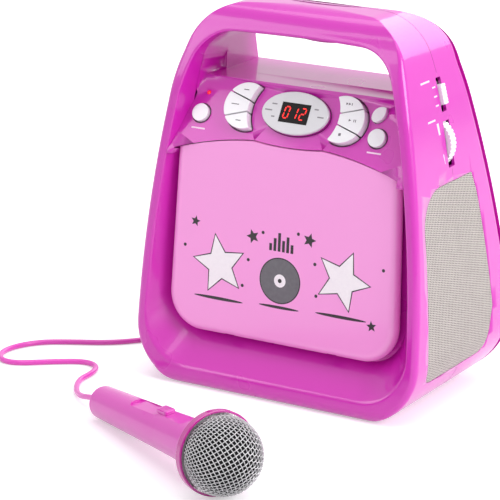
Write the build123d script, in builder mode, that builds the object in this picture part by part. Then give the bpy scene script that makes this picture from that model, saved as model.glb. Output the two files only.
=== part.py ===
from build123d import *
import os
from math import atan2, cos, degrees, pi, radians, sin, sqrt, tan

# Portable karaoke machine with a front disc bay, a carrying handle and a wired hand microphone.
# Millimetres. X runs to the right seen from the front, Y to the back and Z up.
# The origin is on the floor, under the middle of the cabinet.

os.makedirs("parts", exist_ok=True)


def keep(piece, name):
    """Label one finished sub-part and write it."""
    piece.part.label = name
    export_step(piece.part, f"parts/{name}.step")


# ---------------------------------------------------------------- driving dimensions

# Cabinet
cabinet_width = 225.0
cabinet_height = 270.0
front_foot = 56.0            # how far the front rim stands ahead of the origin
rear_foot = 88.0             # how far the back stands behind it
seam_y = 17.0                # where the two shells meet
rim_lean = 5.5               # degrees that the front rim leans back
back_lean = 12.4             # degrees that the back leans forward
wall = 2.5
shell_corner = 42.0          # round bottom corners, seen from the front
fit_gap = 0.3                # between pieces that only lie beside each other
running_gap = 0.05           # radial, of a shaft in its bore
grain_gap = 0.4              # round a key or a lid in its window

# Front recess and disc bay
rim_band = 7.5               # width of the rim's front face at the sides
rim_band_foot = 14.0         # and at the bottom
rim_band_crown = 15.5        # and at the handle
recess_depth = 22.0
floor_lean = 4.5             # degrees that the recess floor and the door lean back
slope_side = 13.0            # how far the recess slopes run in, at the sides
slope_foot = 22.0            # and at the bottom

# Door
door_gap = 0.6
door_depth = 12.0
door_wall = 2.2
door_height = 128.5          # from its bottom edge to its top corners
door_arch = 12.0             # rise of the top edge over the corners
door_dip = 1.6               # drop of the top edge under the display
door_corner = 26.0
hinge_pin_radius = 1.25
hinge_lug_x = 41.0
hinge_lug_width = 8.0

# Handle
tunnel_half_width = 76.0
tunnel_corner = 16.0
ledge_drop = 55.0            # ledge of the opening, below the cabinet's top
grip_sag = 9.0
grip_half_length = 44.0

# Control panel
panel_lean = 31.0
visor_rise = 3.6             # the raised middle of the panel
visor_half_width = 60.0
display_half_width = 26.0
display_half_height = 15.3
key_rise = 2.2
key_travel = 0.6
key_radius = 6.4
board_depth = 14.0           # from the panel's face to the control board
board_thickness = 1.6

# Disc drive
disc_radius = 60.0
well_depth = 9.0
deck_wall = 2.0
hub_radius = 7.4
turntable_radius = 14.0
spindle_radius = 1.0
sled_travel = 15.0
rod_radius = 1.5
rack_module = 1.0
sled_gear_teeth = 12

# Side controls
volume_radius = 19.0
volume_width = 7.0
volume_rise = 3.6            # how far the wheel stands out of the side
volume_slot_low = 14.5       # how far its slot reaches below its axis
volume_slot_high = 16.8      # and above it, where the side leans in over it
slider_length = 14.0
slider_width = 6.0
slider_travel = 4.0
slider_rise = 3.0

# Loudspeakers
speaker_radius = 39.0
speaker_depth = 30.0
speaker_z = 88.0
speaker_y = 9.0
grille_thickness = 1.0

# Back
battery_cover_half = 72.0
battery_cover_height = 52.0
jack_bore_radius = 3.25
jack_depth = 30.0
screw_radius = 1.4

# Microphone and its lead
mic_length = 194.0
mic_tail_radius = 11.5
mic_neck_radius = 16.0
mic_ring_radius = 27.9
mic_ball_radius = 26.0
lead_diameter = 4.0
coil_pitch = 4.6
coil_radius = 28.8           # of the outermost half turn
coil_half_turns = 6          # in each of its two layers

# ---------------------------------------------------------------- frames worked out from them

half_width = cabinet_width / 2
ledge_z = cabinet_height - ledge_drop


def leaning_plane(y_at_floor, lean):
    """Plane through (0, y, 0) that faces the front and leans back; its local Y runs up the lean."""
    z_dir = (0, -cos(radians(lean)), sin(radians(lean)))
    return Plane(origin=(0, y_at_floor, 0), x_dir=(1, 0, 0), z_dir=z_dir)


rim_plane = leaning_plane(-front_foot, rim_lean)
floor_plane = leaning_plane(-front_foot + recess_depth, floor_lean)

door_bottom = rim_band_foot + slope_foot + door_gap + 0.9
door_top_corner = door_bottom + door_height
door_half_width = half_width - rim_band - slope_side - 1.0
door_back = 0.8                                # the door's back edge, ahead of the recess floor
door_face = door_back + door_depth
hinge_height = door_bottom + door_depth / 2
hinge_depth = door_back + door_depth / 2

panel_foot_z = door_top_corner + 6.0
panel_foot_y = -front_foot + recess_depth - door_face + panel_foot_z * tan(radians(floor_lean))
panel_plane = Plane(
    origin=(0, panel_foot_y - 0.6, panel_foot_z),
    x_dir=(1, 0, 0),
    z_dir=(0, -cos(radians(panel_lean)), sin(radians(panel_lean))),
)


def out_of_panel(face):
    """How far a face's middle stands out of the panel."""
    return panel_plane.to_local_coords(face.center()).Z


back_knee_z = 80.0
back_top_z = cabinet_height - 38.0
back_knee_y = rear_foot - 2.0
back_top_y = back_knee_y - (back_top_z - back_knee_z) * tan(radians(back_lean))


def back_plane(x, z):
    """Plane on the leaning back wall at one place, facing out of it."""
    y = back_knee_y - (z - back_knee_z) * tan(radians(back_lean))
    normal = (0, cos(radians(back_lean)), sin(radians(back_lean)))
    return Plane(origin=(x, y, z), x_dir=(-1, 0, 0), z_dir=normal)


# ---------------------------------------------------------------- shapes that several pieces share


def arch_face(half_foot, foot, corner, waist, hip, shoulder, brow, crown):
    """Arch seen from the front, mirrored: flat foot, round corner, side, shoulder and crown arcs."""
    with BuildSketch() as arch:
        with BuildLine():
            Line((0, foot), (half_foot - corner, foot))
            turn = corner * (1 - sqrt(0.5))
            ThreePointArc((half_foot - corner, foot), (half_foot - turn, foot + turn),
                          (half_foot, foot + corner))
            side = ThreePointArc((half_foot, foot + corner), waist, hip)
            bend = TangentArc(hip, shoulder, tangent=side % 1)
            TangentArc(shoulder, brow, tangent=bend % 1)
            crest = (brow[0] / 2, crown - (crown - brow[1]) / 4)
            ThreePointArc(brow, crest, (0, crown))
            mirror(about=Plane.YZ)
        make_face()
    return arch.sketch


waist_in = 5.4               # how far the side has come in at the waist
hip_in = 18.3                # at the hip
shoulder_in = 28.6           # and at the shoulder
brow_half = 50.0             # where the crown begins
hip_z = cabinet_height - 63.0
shoulder_z = cabinet_height - 27.5
waist_z = (shell_corner + hip_z) / 2

cabinet_front_view = arch_face(
    half_width, 0, shell_corner, (half_width - waist_in, waist_z), (half_width - hip_in, hip_z),
    (half_width - shoulder_in, shoulder_z), (brow_half, cabinet_height - 1.4), cabinet_height,
)


def cabinet_block(inset):
    """The closed outside of the cabinet, drawn in by inset: its front view crossed with its side view."""
    with BuildSketch(Plane.XZ.offset(front_foot + wall)) as front_view:
        add(cabinet_front_view)
        if inset > 0:
            offset(amount=-inset, kind=Kind.ARC, mode=Mode.REPLACE)
    lip = 9.0
    brow_z = cabinet_height - 72.0
    brow_y = -front_foot + brow_z * tan(radians(rim_lean)) + 2.0
    with BuildSketch(Plane.YZ.offset(-half_width - 1)) as side_view:
        with BuildLine():
            foot_turn = lip * (1 - sqrt(0.5))
            ThreePointArc((-front_foot + lip, 0), (-front_foot + foot_turn, foot_turn),
                          (-front_foot + 0.8, lip))
            Line((-front_foot + 0.8, lip), (brow_y, brow_z))
            ThreePointArc((brow_y, brow_z), (brow_y + 6.5, cabinet_height - 38), (-17, cabinet_height - 13))
            ThreePointArc((-17, cabinet_height - 13), (-10, cabinet_height - 4), (2, cabinet_height))
            Line((2, cabinet_height), (20, cabinet_height - 0.8))
            ThreePointArc((20, cabinet_height - 0.8), (42, cabinet_height - 12), (back_top_y, back_top_z))
            Line((back_top_y, back_top_z), (back_knee_y, back_knee_z))
            ThreePointArc((back_knee_y, back_knee_z), (rear_foot, 52), (rear_foot - 1, 34))
            ThreePointArc((rear_foot - 1, 34), (rear_foot - 11, 10), (rear_foot - 32, 0))
            Line((rear_foot - 32, 0), (-front_foot + lip, 0))
        make_face()
        if inset > 0:
            offset(amount=-inset, kind=Kind.ARC, mode=Mode.REPLACE)
    with BuildPart() as block:
        extrude(front_view.sketch, amount=-(front_foot + rear_foot + 2 * wall))
        extrude(side_view.sketch, amount=cabinet_width + 2, mode=Mode.INTERSECT)
    return block.part


def door_face_outline(grow):
    """The door seen square on: round bottom corners, arched top with a dip under the display."""
    half = door_half_width
    top = door_top_corner
    shoulder_x = half - 3.2
    peak_x = 27.0
    with BuildSketch() as outline:
        with BuildLine():
            turn = door_corner * (1 - sqrt(0.5))
            Line((0, door_bottom), (half - door_corner, door_bottom))
            ThreePointArc((half - door_corner, door_bottom), (half - turn, door_bottom + turn),
                          (half, door_bottom + door_corner))
            Line((half, door_bottom + door_corner), (shoulder_x, top))
            ThreePointArc((shoulder_x, top), (58, top + door_arch * 0.66), (peak_x, top + door_arch))
            ThreePointArc((peak_x, top + door_arch), (peak_x / 2, top + door_arch - door_dip * 0.75),
                          (0, top + door_arch - door_dip))
            mirror(about=Plane.YZ)
        make_face()
        if grow != 0:
            offset(amount=grow, kind=Kind.ARC, mode=Mode.REPLACE)
    return outline.sketch


def recess_block(grow):
    """The space of the front recess, widened by grow: sloping sides, the door's well and the panel."""
    mouth = arch_face(
        half_width - rim_band + grow, rim_band_foot - grow, 36 + grow,
        (half_width - waist_in - rim_band + grow, waist_z),
        (half_width - hip_in - rim_band + grow, hip_z - 3),
        (half_width - shoulder_in - rim_band + 1.6 + grow, shoulder_z - 10.5 + grow * 0.7),
        (brow_half - 2, cabinet_height - rim_band_crown - 1.4 + grow),
        cabinet_height - rim_band_crown + grow,
    )
    inner_half = half_width - rim_band - slope_side + grow
    inner = arch_face(
        inner_half, rim_band_foot + slope_foot - grow, door_corner + grow,
        (inner_half - 0.6, waist_z - 12),
        (tunnel_half_width + 7 + grow, hip_z - 8),
        (tunnel_half_width + 1.0 + grow, shoulder_z - 14.5 + grow * 0.7),
        (brow_half, cabinet_height - rim_band_crown - 5 + grow),
        cabinet_height - rim_band_crown - 4 + grow,
    )
    y_front = -front_foot - 20
    floor_y = -front_foot + recess_depth + grow / cos(radians(floor_lean))
    shelf_z = door_top_corner - 3
    with BuildSketch(Plane.YZ.offset(-half_width)) as ahead:
        with BuildLine():
            lean_run = tan(radians(floor_lean))
            rise_run = tan(radians(panel_lean))
            foot_y = panel_plane.origin.Y + grow / cos(radians(panel_lean))
            Polyline(
                (y_front, -10), (floor_y - 10 * lean_run, -10),
                (floor_y + (shelf_z + grow) * lean_run, shelf_z + grow),
                (foot_y + (shelf_z + grow - panel_foot_z) * rise_run, shelf_z + grow),
                (foot_y + (ledge_z - grow - panel_foot_z) * rise_run, ledge_z - grow),
                (rear_foot, ledge_z - grow), (rear_foot, cabinet_height + 10),
                (y_front, cabinet_height + 10), close=True,
            )
        make_face()
    with BuildPart() as recess:
        with BuildSketch(rim_plane):
            add(mouth)
        with BuildSketch(floor_plane.offset(-grow)):
            add(inner)
        loft()
        with BuildSketch(rim_plane):
            add(mouth)
        extrude(amount=20)
        with BuildSketch(floor_plane.offset(-grow)):
            add(inner)
        extrude(amount=-30)
        extrude(ahead.sketch, amount=cabinet_width, mode=Mode.INTERSECT)
        with BuildSketch(floor_plane.offset(-grow)):
            add(door_face_outline(door_gap + grow))
        extrude(amount=recess_depth + 12)
    return recess.part


def tunnel_block(grow):
    """The hand opening under the handle, right through the cabinet, widened by grow."""
    crown = cabinet_height - rim_band_crown - 3.5
    height = crown - ledge_z + 2 * grow
    with BuildPart() as tunnel:
        with BuildSketch(Plane.XZ.offset(0)):
            with Locations((0, ledge_z - grow + height / 2)):
                Rectangle(2 * (tunnel_half_width + grow), height)
        extrude(amount=30)
        with BuildSketch(Plane.XZ):
            with Locations((0, ledge_z - grow + height / 2)):
                Rectangle(2 * (tunnel_half_width + grow), height)
        extrude(amount=-(rear_foot + wall))
        fillet(tunnel.edges().filter_by(Axis.Y).group_by(Axis.Z)[-1], tunnel_corner)
    with BuildPart() as grip:
        with BuildSketch(Plane.XZ.offset(30)):
            with BuildLine():
                ThreePointArc((-grip_half_length, crown + grow), (0, crown - grip_sag + grow),
                              (grip_half_length, crown + grow))
                Line((grip_half_length, crown + grow), (-grip_half_length, crown + grow))
            make_face()
        extrude(amount=-90)
        with BuildSketch(Plane.YZ.offset(-grip_half_length)):
            with BuildLine():
                grip_front = -14.0 + grow
                grip_back = 46.0 - grow
                grip_low = ((grip_front + grip_back) / 2, crown - grip_sag + grow)
                ThreePointArc((grip_front, crown + grow), grip_low, (grip_back, crown + grow))
                Line((grip_back, crown + grow), (grip_front, crown + grow))
            make_face()
        extrude(amount=2 * grip_half_length, mode=Mode.INTERSECT)
    return tunnel.part - grip.part


# Screw bosses inside the shells, as (x, z) seen from the front
boss_places = [(-74, 17), (74, 17), (-88, 146), (88, 146)]
boss_radius = 4.5
boss_bore = 1.5
head_radius = 3.6
head_seat_y = seam_y + 9

# Where the loudspeakers sit
speaker_flange_x = half_width - 11.5


def boss_group(radius, y_from, y_to):
    """Cylinders along Y at every screw place."""
    with BuildPart() as bosses:
        with BuildSketch(Plane.XZ.offset(-y_from)):
            with Locations(*boss_places):
                Circle(radius)
        extrude(amount=-(y_to - y_from))
    return bosses.part


def speaker_ring(side):
    """Moulded ring from the side wall to the loudspeaker's flange."""
    with BuildPart() as ring:
        with BuildSketch(Plane.YZ.offset(side * speaker_flange_x)):
            with Locations((speaker_y, speaker_z)):
                Circle(speaker_radius)
                Circle(speaker_radius - 4, mode=Mode.SUBTRACT)
        extrude(amount=side * 15)
    return ring.part


def side_x(z):
    """Half the cabinet's width at height z."""
    level = Edge.make_line((0, z), (half_width + 1, z))
    return cabinet_front_view.face().intersect(level)[0].bounding_box().max.X


# Control board posts, in the panel's plane
post_places = [(-50, 45.5), (50, 45.5), (-14, 47.5), (14, 47.5)]


def panel_posts():
    """Posts from the back of the panel to the control board."""
    with BuildPart() as posts:
        with BuildSketch(panel_plane.offset(-board_depth)):
            with Locations(*post_places):
                Circle(2.2)
        extrude(amount=board_depth)
    return posts.part


# Main board posts on the back wall, as (x, z)
main_board_y = 40.0
main_post_places = [(-52, 106), (52, 106), (-52, 146), (52, 146)]


def board_posts():
    """Posts along Y from the back wall to the main board."""
    with BuildPart() as posts:
        with BuildSketch(Plane.XZ.offset(-main_board_y - board_thickness)):
            with Locations(*main_post_places):
                Circle(3)
        extrude(amount=-45)
    return posts.part


def grille_prism(grow, length=cabinet_width + 20):
    """Side view of a loudspeaker grille, carried right across the cabinet."""
    foot_z = 27.0
    top_z = 158.0
    front_y = -34.0
    with BuildPart() as prism:
        with BuildSketch(Plane.YZ.offset(-length / 2)):
            with BuildLine():
                Polyline(
                    (front_y, foot_z), (54, foot_z), (64, 58), (49, 143), (44, top_z), (-29, top_z),
                    close=True,
                )
            make_face()
            corners = vertices()
            fillet(corners.sort_by(Axis.X)[0], 7)
            fillet(vertices().group_by(Axis.Y)[-1].sort_by(Axis.X)[0], 28)
            fillet(vertices().group_by(Axis.Y)[0].sort_by(Axis.X)[-1], 14)
            if grow != 0:
                offset(amount=grow, kind=Kind.ARC, mode=Mode.REPLACE)
        extrude(amount=length)
    return prism.part


# ---------------------------------------------------------------- places on the panel

display_place = (0.5, 30)
power_led_place = (-73, 37)
round_key_places = {"power_key": (-74, 21.5), "memory_key": (65.5, 21.5)}
leaf_key_place = (62.5, 37.5)
indicator_places = [(-15.6, 37.6), (-15.6, 30), (-15.6, 22.4), (16.6, 37), (16.6, 29.3)]
crescent_tip = (31.0, 15.2)          # from the display's middle, mirrored up and across
crescent_outer = 55.0
crescent_inner = 35.6
crescent_slope = 17.0                # degrees of the lines between its keys
crescent_middle_half = 4.0           # half the middle key's height at the inner arc
key_foot = -2.0                      # how far the key caps reach in under the panel's face
switch_top = -board_depth + 5.4      # top of a tact switch's plunger


def crescent(side):
    """Crescent beside the display, between a wide outer arc and the arc round the display."""
    tip_x, tip_s = crescent_tip
    middle = display_place[1]
    with BuildSketch() as whole:
        with BuildLine():
            outer = ThreePointArc((side * tip_x, middle + tip_s), (side * crescent_outer, middle),
                                  (side * tip_x, middle - tip_s))
            ThreePointArc(outer @ 1, (side * crescent_inner, middle), outer @ 0)
        make_face()
    return whole.sketch


def crescent_window(side):
    """The crescent with round tips, wider than its keys by their gap."""
    with BuildSketch() as window:
        add(crescent(side))
        fillet(window.vertices(), 1)
        offset(amount=grain_gap, kind=Kind.ARC, mode=Mode.REPLACE)
    return window.sketch


def crescent_faces(side):
    """The faces of the three keys of one crescent, lowest first."""
    with BuildSketch() as keys:
        add(crescent(side))
        for rank in (-1, 1):
            crossing = (side * crescent_inner, display_place[1] + rank * crescent_middle_half)
            with Locations(Location(crossing, side * rank * crescent_slope)):
                Rectangle(60, 2 * grain_gap, mode=Mode.SUBTRACT)
        fillet(keys.vertices(), 0.8)
    return keys.faces().sort_by(Axis.Y)


# Names of the keys in each crescent, lowest first, and where each has its stem
crescent_keys = {
    -1: {"program_key": (-40, 21), "mode_key": (-46, 30), "eject_key": (-39, 39.5)},
    1: {"stop_key": (40, 21), "play_key": (46, 30), "skip_back_key": (39, 39.5)},
}


def leaf_outline(grow):
    """Leaf-shaped key: an ellipse with a drawn-out upper corner."""
    with BuildSketch() as leaf:
        with BuildLine():
            ThreePointArc((4.6, 5.6), (-3.0, 3.6), (-4.8, -1.6))
            ThreePointArc((-4.8, -1.6), (-3.4, -4.6), (-0.6, -5.4))
            ThreePointArc((-0.6, -5.4), (4.2, -1.4), (4.6, 5.6))
        make_face()
        if grow != 0:
            offset(amount=grow, kind=Kind.ARC, mode=Mode.REPLACE)
    return leaf.sketch


# ---------------------------------------------------------------- places round the cabinet

disc_height = door_bottom + 69.5              # up the recess floor's lean
deck_back = -well_depth - deck_wall           # back of the disc well, behind the recess floor
chassis_front = deck_back - 3.0
chassis_back = chassis_front - 2.0
sled_height = disc_height - 38.0
sled_depth = chassis_back - 2.0               # middle of the guide rods
rod_x = 21.0
rack_face = 27.5                              # pitch line of the rack
gear_radius = rack_module * sled_gear_teeth / 2
gear_x = rack_face + gear_radius
gear_back = sled_depth - 3.5
gear_width = 3.0

volume_z = cabinet_height - 88.0
volume_x = side_x(volume_z) + volume_rise - volume_radius
slider_z = cabinet_height - 53.5
slider_tilt = degrees(atan2(side_x(slider_z - 10) - side_x(slider_z + 10), 20))
slider_plane = Plane(
    origin=(side_x(slider_z), seam_y, slider_z),
    x_dir=(0, -1, 0),
    z_dir=(cos(radians(slider_tilt)), 0, sin(radians(slider_tilt))),
)
side_board_y = 31.0
side_post_places = [(74, 178), (72, 200)]

jack_z = 130.0
jack_places = {"mic_jack_1": -62.0, "mic_jack_2": -42.0}
usb_x = -16.0
inlet_place = (66.0, 122.0)
battery_foot_z = 40.0
battery_box_y = 57.0

foot_places = [(-62, -36), (62, -36), (-56, 40), (56, 40)]
foot_radius = 8.0


def side_posts():
    """Posts along Y from the back wall to the small board behind the side controls."""
    with BuildPart() as posts:
        with BuildSketch(Plane.XZ.offset(-side_board_y - board_thickness)):
            with Locations(*side_post_places):
                Circle(3)
        extrude(amount=-60)
    return posts.part


def side_slots():
    """The slots of the volume wheel and of the function slider, through the right side wall."""
    with BuildPart() as slots:
        with BuildSketch(Plane.XY.offset(volume_z - volume_slot_low)):
            with Locations((side_x(volume_z), seam_y)):
                Rectangle(16, volume_width + 1.6)
        extrude(amount=volume_slot_low + volume_slot_high)
        with BuildSketch(slider_plane.offset(-wall - 2)):
            RectangleRounded(slider_width + 0.8, slider_length + 2 * slider_travel + 1.6, 1)
        extrude(amount=wall + 6)
    return slots.part


def grille_pocket():
    """Shallow pocket for the two grilles and the loudspeakers' openings behind them."""
    with BuildPart() as pocket:
        add(grille_prism(0))
        add(cabinet_block(grille_thickness + 0.2), mode=Mode.SUBTRACT)
        for side in (-1, 1):
            with BuildSketch(Plane.YZ.offset(side * speaker_flange_x)):
                with Locations((speaker_y, speaker_z)):
                    Circle(speaker_radius - 5)
            extrude(amount=side * 20)
    return pocket.part


# ---------------------------------------------------------------- front and rear shell

with BuildPart() as hollow:
    add(cabinet_block(wall))
    add(recess_block(wall), mode=Mode.SUBTRACT)
    add(tunnel_block(wall), mode=Mode.SUBTRACT)
    add(boss_group(boss_radius, -70, rear_foot), mode=Mode.SUBTRACT)
    add(speaker_ring(-1), mode=Mode.SUBTRACT)
    add(speaker_ring(1), mode=Mode.SUBTRACT)
    add(panel_posts(), mode=Mode.SUBTRACT)
    add(board_posts(), mode=Mode.SUBTRACT)
    add(side_posts(), mode=Mode.SUBTRACT)

# Screw holes: pilot in the front bosses, clearance and a deep head recess in the rear ones
screw_tip_y = seam_y - 14

with BuildPart() as screw_holes:
    with BuildSketch(Plane.XZ.offset(-screw_tip_y)):
        with Locations(*boss_places):
            Circle(boss_bore)
    extrude(amount=-(head_seat_y - screw_tip_y))
    with BuildSketch(Plane.XZ.offset(-head_seat_y)):
        with Locations(*boss_places):
            Circle(head_radius)
    extrude(amount=-rear_foot)

# Every window in the panel: the display, the indicators and the keys
with BuildPart() as panel_windows:
    with BuildSketch(panel_plane.offset(-wall - 1)):
        with Locations(display_place):
            Ellipse(display_half_width - 2, display_half_height - 2)
        with Locations(power_led_place):
            Circle(1.6)
        for place in round_key_places.values():
            with Locations(place):
                Circle(key_radius + grain_gap)
        with Locations(leaf_key_place):
            add(leaf_outline(grain_gap))
        for side in (-1, 1):
            add(crescent_window(side))
    extrude(amount=wall + visor_rise + 6)
    with BuildSketch(panel_plane.offset(visor_rise - 2)):
        with Locations(display_place):
            Ellipse(display_half_width + 0.2, display_half_height + 0.2)
    extrude(amount=8)

# The raised, eye-shaped middle of the panel
with BuildPart() as visor:
    with BuildSketch(panel_plane.offset(-0.4)):
        with BuildLine():
            top = ThreePointArc((-visor_half_width, 29), (0, 50), (visor_half_width, 29))
            ThreePointArc(top @ 1, (0, 7.5), top @ 0)
        make_face()
    extrude(amount=visor_rise + 0.4, taper=25)


def lug_plane(x):
    """Plane across the door's hinge line: local X points out of the recess floor, local Y up."""
    out = floor_plane.z_dir
    return Plane(origin=(floor_plane * Pos(x, hinge_height, hinge_depth)).position, x_dir=out,
                 z_dir=(-1, 0, 0))


lug_radius = hinge_pin_radius + 1.9

with BuildPart() as hinge_lugs:
    for x in (-hinge_lug_x, hinge_lug_x):
        with BuildSketch(lug_plane(x)):
            Circle(lug_radius)
            with Locations((-hinge_depth / 2 - 0.5, 0)):
                Rectangle(hinge_depth + 1, 2 * lug_radius)
        extrude(amount=hinge_lug_width / 2, both=True)
        with BuildSketch(lug_plane(x)):
            Circle(hinge_pin_radius)
        extrude(amount=hinge_lug_width, both=True, mode=Mode.SUBTRACT)

deck_screw_places = [(x, disc_height + v) for x in (-62, 62) for v in (-62, 62)]
deck_screw_radius = 1.3

with BuildPart() as shells:
    add(cabinet_block(0))
    add(recess_block(0), mode=Mode.SUBTRACT)
    add(visor.part)
    add(tunnel_block(0), mode=Mode.SUBTRACT)
    add(hollow.part, mode=Mode.SUBTRACT)
    add(hinge_lugs.part)
    add(grille_pocket(), mode=Mode.SUBTRACT)
    add(side_slots(), mode=Mode.SUBTRACT)
    add(panel_windows.part, mode=Mode.SUBTRACT)
    add(screw_holes.part, mode=Mode.SUBTRACT)
    with BuildSketch(floor_plane.offset(1)):
        with Locations((0, disc_height)):
            Circle(disc_radius + 1)
    extrude(amount=-wall - 2, mode=Mode.SUBTRACT)
    with BuildSketch(floor_plane.offset(-wall)):
        with Locations(*deck_screw_places):
            Circle(deck_screw_radius)
    extrude(amount=wall - 0.5, mode=Mode.SUBTRACT)
    with BuildSketch(Plane.XY):
        with Locations(*foot_places):
            Circle(foot_radius + fit_gap)
    extrude(amount=wall * 0.6, mode=Mode.SUBTRACT)

seam_plane = Plane.XZ.offset(-seam_y)

with BuildPart() as front_shell:
    add(shells.part)
    split(bisect_by=seam_plane, keep=Keep.TOP)
keep(front_shell, "front_shell")

# ---------------------------------------------------------------- openings in the back

cover_z = battery_foot_z + battery_cover_height / 2
pivot_radius = 0.8
pivot_y = rear_foot - 1.55
pivot_z = battery_foot_z + grain_gap + 1.25
inlet_width = 22.0
inlet_height = 15.0
usb_width = 14.6
usb_height = 7.2

with BuildPart() as back_windows:
    with BuildSketch(Plane.XZ.offset(-rear_foot + 20)):
        with Locations((0, cover_z)):
            RectangleRounded(2 * battery_cover_half, battery_cover_height, 1.4)
    extrude(amount=-30)
    with BuildSketch(Plane.YZ.offset(-battery_cover_half - 1.8)):
        with Locations((pivot_y, pivot_z)):
            Circle(pivot_radius + running_gap)
    extrude(amount=2 * battery_cover_half + 3.6)
    for x in jack_places.values():
        with BuildSketch(back_plane(x, jack_z).offset(-wall - 2)):
            Circle(5.2)
        extrude(amount=wall + 4)
    with BuildSketch(back_plane(usb_x, jack_z).offset(-wall - 2)):
        Rectangle(usb_width, usb_height)
    extrude(amount=wall + 4)
    with BuildSketch(back_plane(*inlet_place).offset(-wall - 2)):
        RectangleRounded(inlet_width, inlet_height, 3)
    extrude(amount=wall + 4)

with BuildPart() as rear_shell:
    add(shells.part)
    split(bisect_by=seam_plane, keep=Keep.BOTTOM)
    add(back_windows.part, mode=Mode.SUBTRACT)
keep(rear_shell, "rear_shell")

# ---------------------------------------------------------------- battery bay and cover

with BuildPart() as battery_box:
    with BuildSketch(Plane.XZ.offset(-battery_box_y)):
        with Locations((0, cover_z)):
            RectangleRounded(2 * battery_cover_half + 8, battery_cover_height + 6, 4)
    extrude(amount=-40)
    add(cabinet_block(wall), mode=Mode.INTERSECT)
    with BuildSketch(Plane.XZ.offset(-battery_box_y - 2)):
        with Locations((0, cover_z)):
            RectangleRounded(2 * battery_cover_half + 2, battery_cover_height + 2, 2)
    extrude(amount=-40, mode=Mode.SUBTRACT)
keep(battery_box, "battery_box")

with BuildPart() as battery_contacts:
    with BuildSketch(Plane.YZ.offset(-battery_cover_half - 1)):
        with Locations((battery_box_y + 15, cover_z - 13), (battery_box_y + 15, cover_z + 13)):
            RectangleRounded(14, 16, 1.5)
    extrude(amount=0.6)
    with BuildSketch(Plane.YZ.offset(-battery_cover_half - 0.4)):
        with Locations((battery_box_y + 15, cover_z - 13), (battery_box_y + 15, cover_z + 13)):
            Circle(4)
    extrude(amount=1.2, taper=25)
    mirror(about=Plane.YZ)
keep(battery_contacts, "battery_contacts")

cover_swing_gap = 0.8         # under the cover, whose bottom edge dips as it swings
cover_height = battery_cover_height - grain_gap - cover_swing_gap

with BuildPart() as battery_cover:
    with BuildSketch(Plane.XZ.offset(-rear_foot + 20)):
        with Locations((0, cover_z + (cover_swing_gap - grain_gap) / 2)):
            RectangleRounded(2 * battery_cover_half - 2 * grain_gap, cover_height, 1)
    extrude(amount=-30)
    add(cabinet_block(0), mode=Mode.INTERSECT)
    add(cabinet_block(wall), mode=Mode.SUBTRACT)
    for x in (-battery_cover_half + grain_gap, battery_cover_half - grain_gap):
        with BuildSketch(Plane.YZ.offset(x)):
            with Locations((pivot_y, pivot_z)):
                Circle(pivot_radius)
        extrude(amount=1.8 if x > 0 else -1.8)
keep(battery_cover, "battery_cover")

# ---------------------------------------------------------------- feet, grilles and shell screws

with BuildPart() as rubber_feet:
    with BuildSketch(Plane.XY):
        with Locations(*foot_places):
            Circle(foot_radius)
    extrude(amount=wall * 0.6)
    chamfer(rubber_feet.edges().group_by(Axis.Z)[0], 0.4)
keep(rubber_feet, "rubber_feet")

for side, name in ((-1, "speaker_grille_left"), (1, "speaker_grille_right")):
    with BuildPart() as grille:
        add(grille_prism(-grain_gap))
        add(cabinet_block(0.1), mode=Mode.INTERSECT)
        add(cabinet_block(0.1 + grille_thickness), mode=Mode.SUBTRACT)
        split(bisect_by=Plane.YZ, keep=Keep.TOP if side > 0 else Keep.BOTTOM)
    keep(grille, name)

with BuildPart() as shell_screws:
    with BuildSketch(Plane.XZ.offset(-screw_tip_y - 1)):
        with Locations(*boss_places):
            Circle(screw_radius)
    extrude(amount=-(head_seat_y - screw_tip_y - 1))
    with BuildSketch(Plane.XZ.offset(-head_seat_y)):
        with Locations(*boss_places):
            Circle(head_radius - 0.6)
    extrude(amount=-2.2)
    with BuildSketch(Plane.XZ.offset(-head_seat_y - 1)):
        with Locations(*boss_places):
            Rectangle(3.6, 0.8)
            Rectangle(0.8, 3.6)
    extrude(amount=-2, mode=Mode.SUBTRACT)
keep(shell_screws, "shell_screws")

# ---------------------------------------------------------------- disc door

with BuildPart() as disc_door:
    with BuildSketch(floor_plane.offset(door_back)):
        add(door_face_outline(0))
    extrude(amount=door_depth)
    round_edges = disc_door.edges().filter_by(lambda e: (e @ 0.5).Z < door_top_corner - 2)
    front_rim = round_edges.filter_by(
        lambda e: abs(floor_plane.to_local_coords(e @ 0.5).Z - door_face) < 0.1
    )
    fillet(front_rim, door_depth / 2 - 0.1)
    back_foot = disc_door.edges().filter_by(
        lambda e: abs(floor_plane.to_local_coords(e @ 0.5).Z - door_back) < 0.1
        and floor_plane.to_local_coords(e @ 0.5).Y < door_bottom + 0.5
    )
    fillet(back_foot, door_depth / 2 - 0.1)
    with BuildSketch(floor_plane):
        add(door_face_outline(-door_wall))
    extrude(amount=door_face - door_wall, mode=Mode.SUBTRACT)
    # Bosses for the hinge pins, on the inside of the bottom lip
    for x in (-hinge_lug_x, hinge_lug_x):
        with BuildSketch(lug_plane(x)):
            Circle(door_depth / 2 - 0.5)
        extrude(amount=hinge_lug_width / 2 + 5.5, both=True)
        with BuildSketch(lug_plane(x)):
            with Locations((-6, -1)):
                Rectangle(door_depth + 6 + 2 * lug_radius - 5, door_depth + 4)
        extrude(amount=hinge_lug_width / 2 + grain_gap, both=True, mode=Mode.SUBTRACT)
        with BuildSketch(lug_plane(x)):
            Circle(hinge_pin_radius + running_gap)
        extrude(amount=hinge_lug_width / 2 + 8, both=True, mode=Mode.SUBTRACT)
keep(disc_door, "disc_door")

with BuildPart() as door_hinge_pins:
    for x in (-hinge_lug_x, hinge_lug_x):
        with BuildSketch(lug_plane(x)):
            Circle(hinge_pin_radius)
        extrude(amount=hinge_lug_width / 2 + 5, both=True)
keep(door_hinge_pins, "door_hinge_pins")

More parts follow.
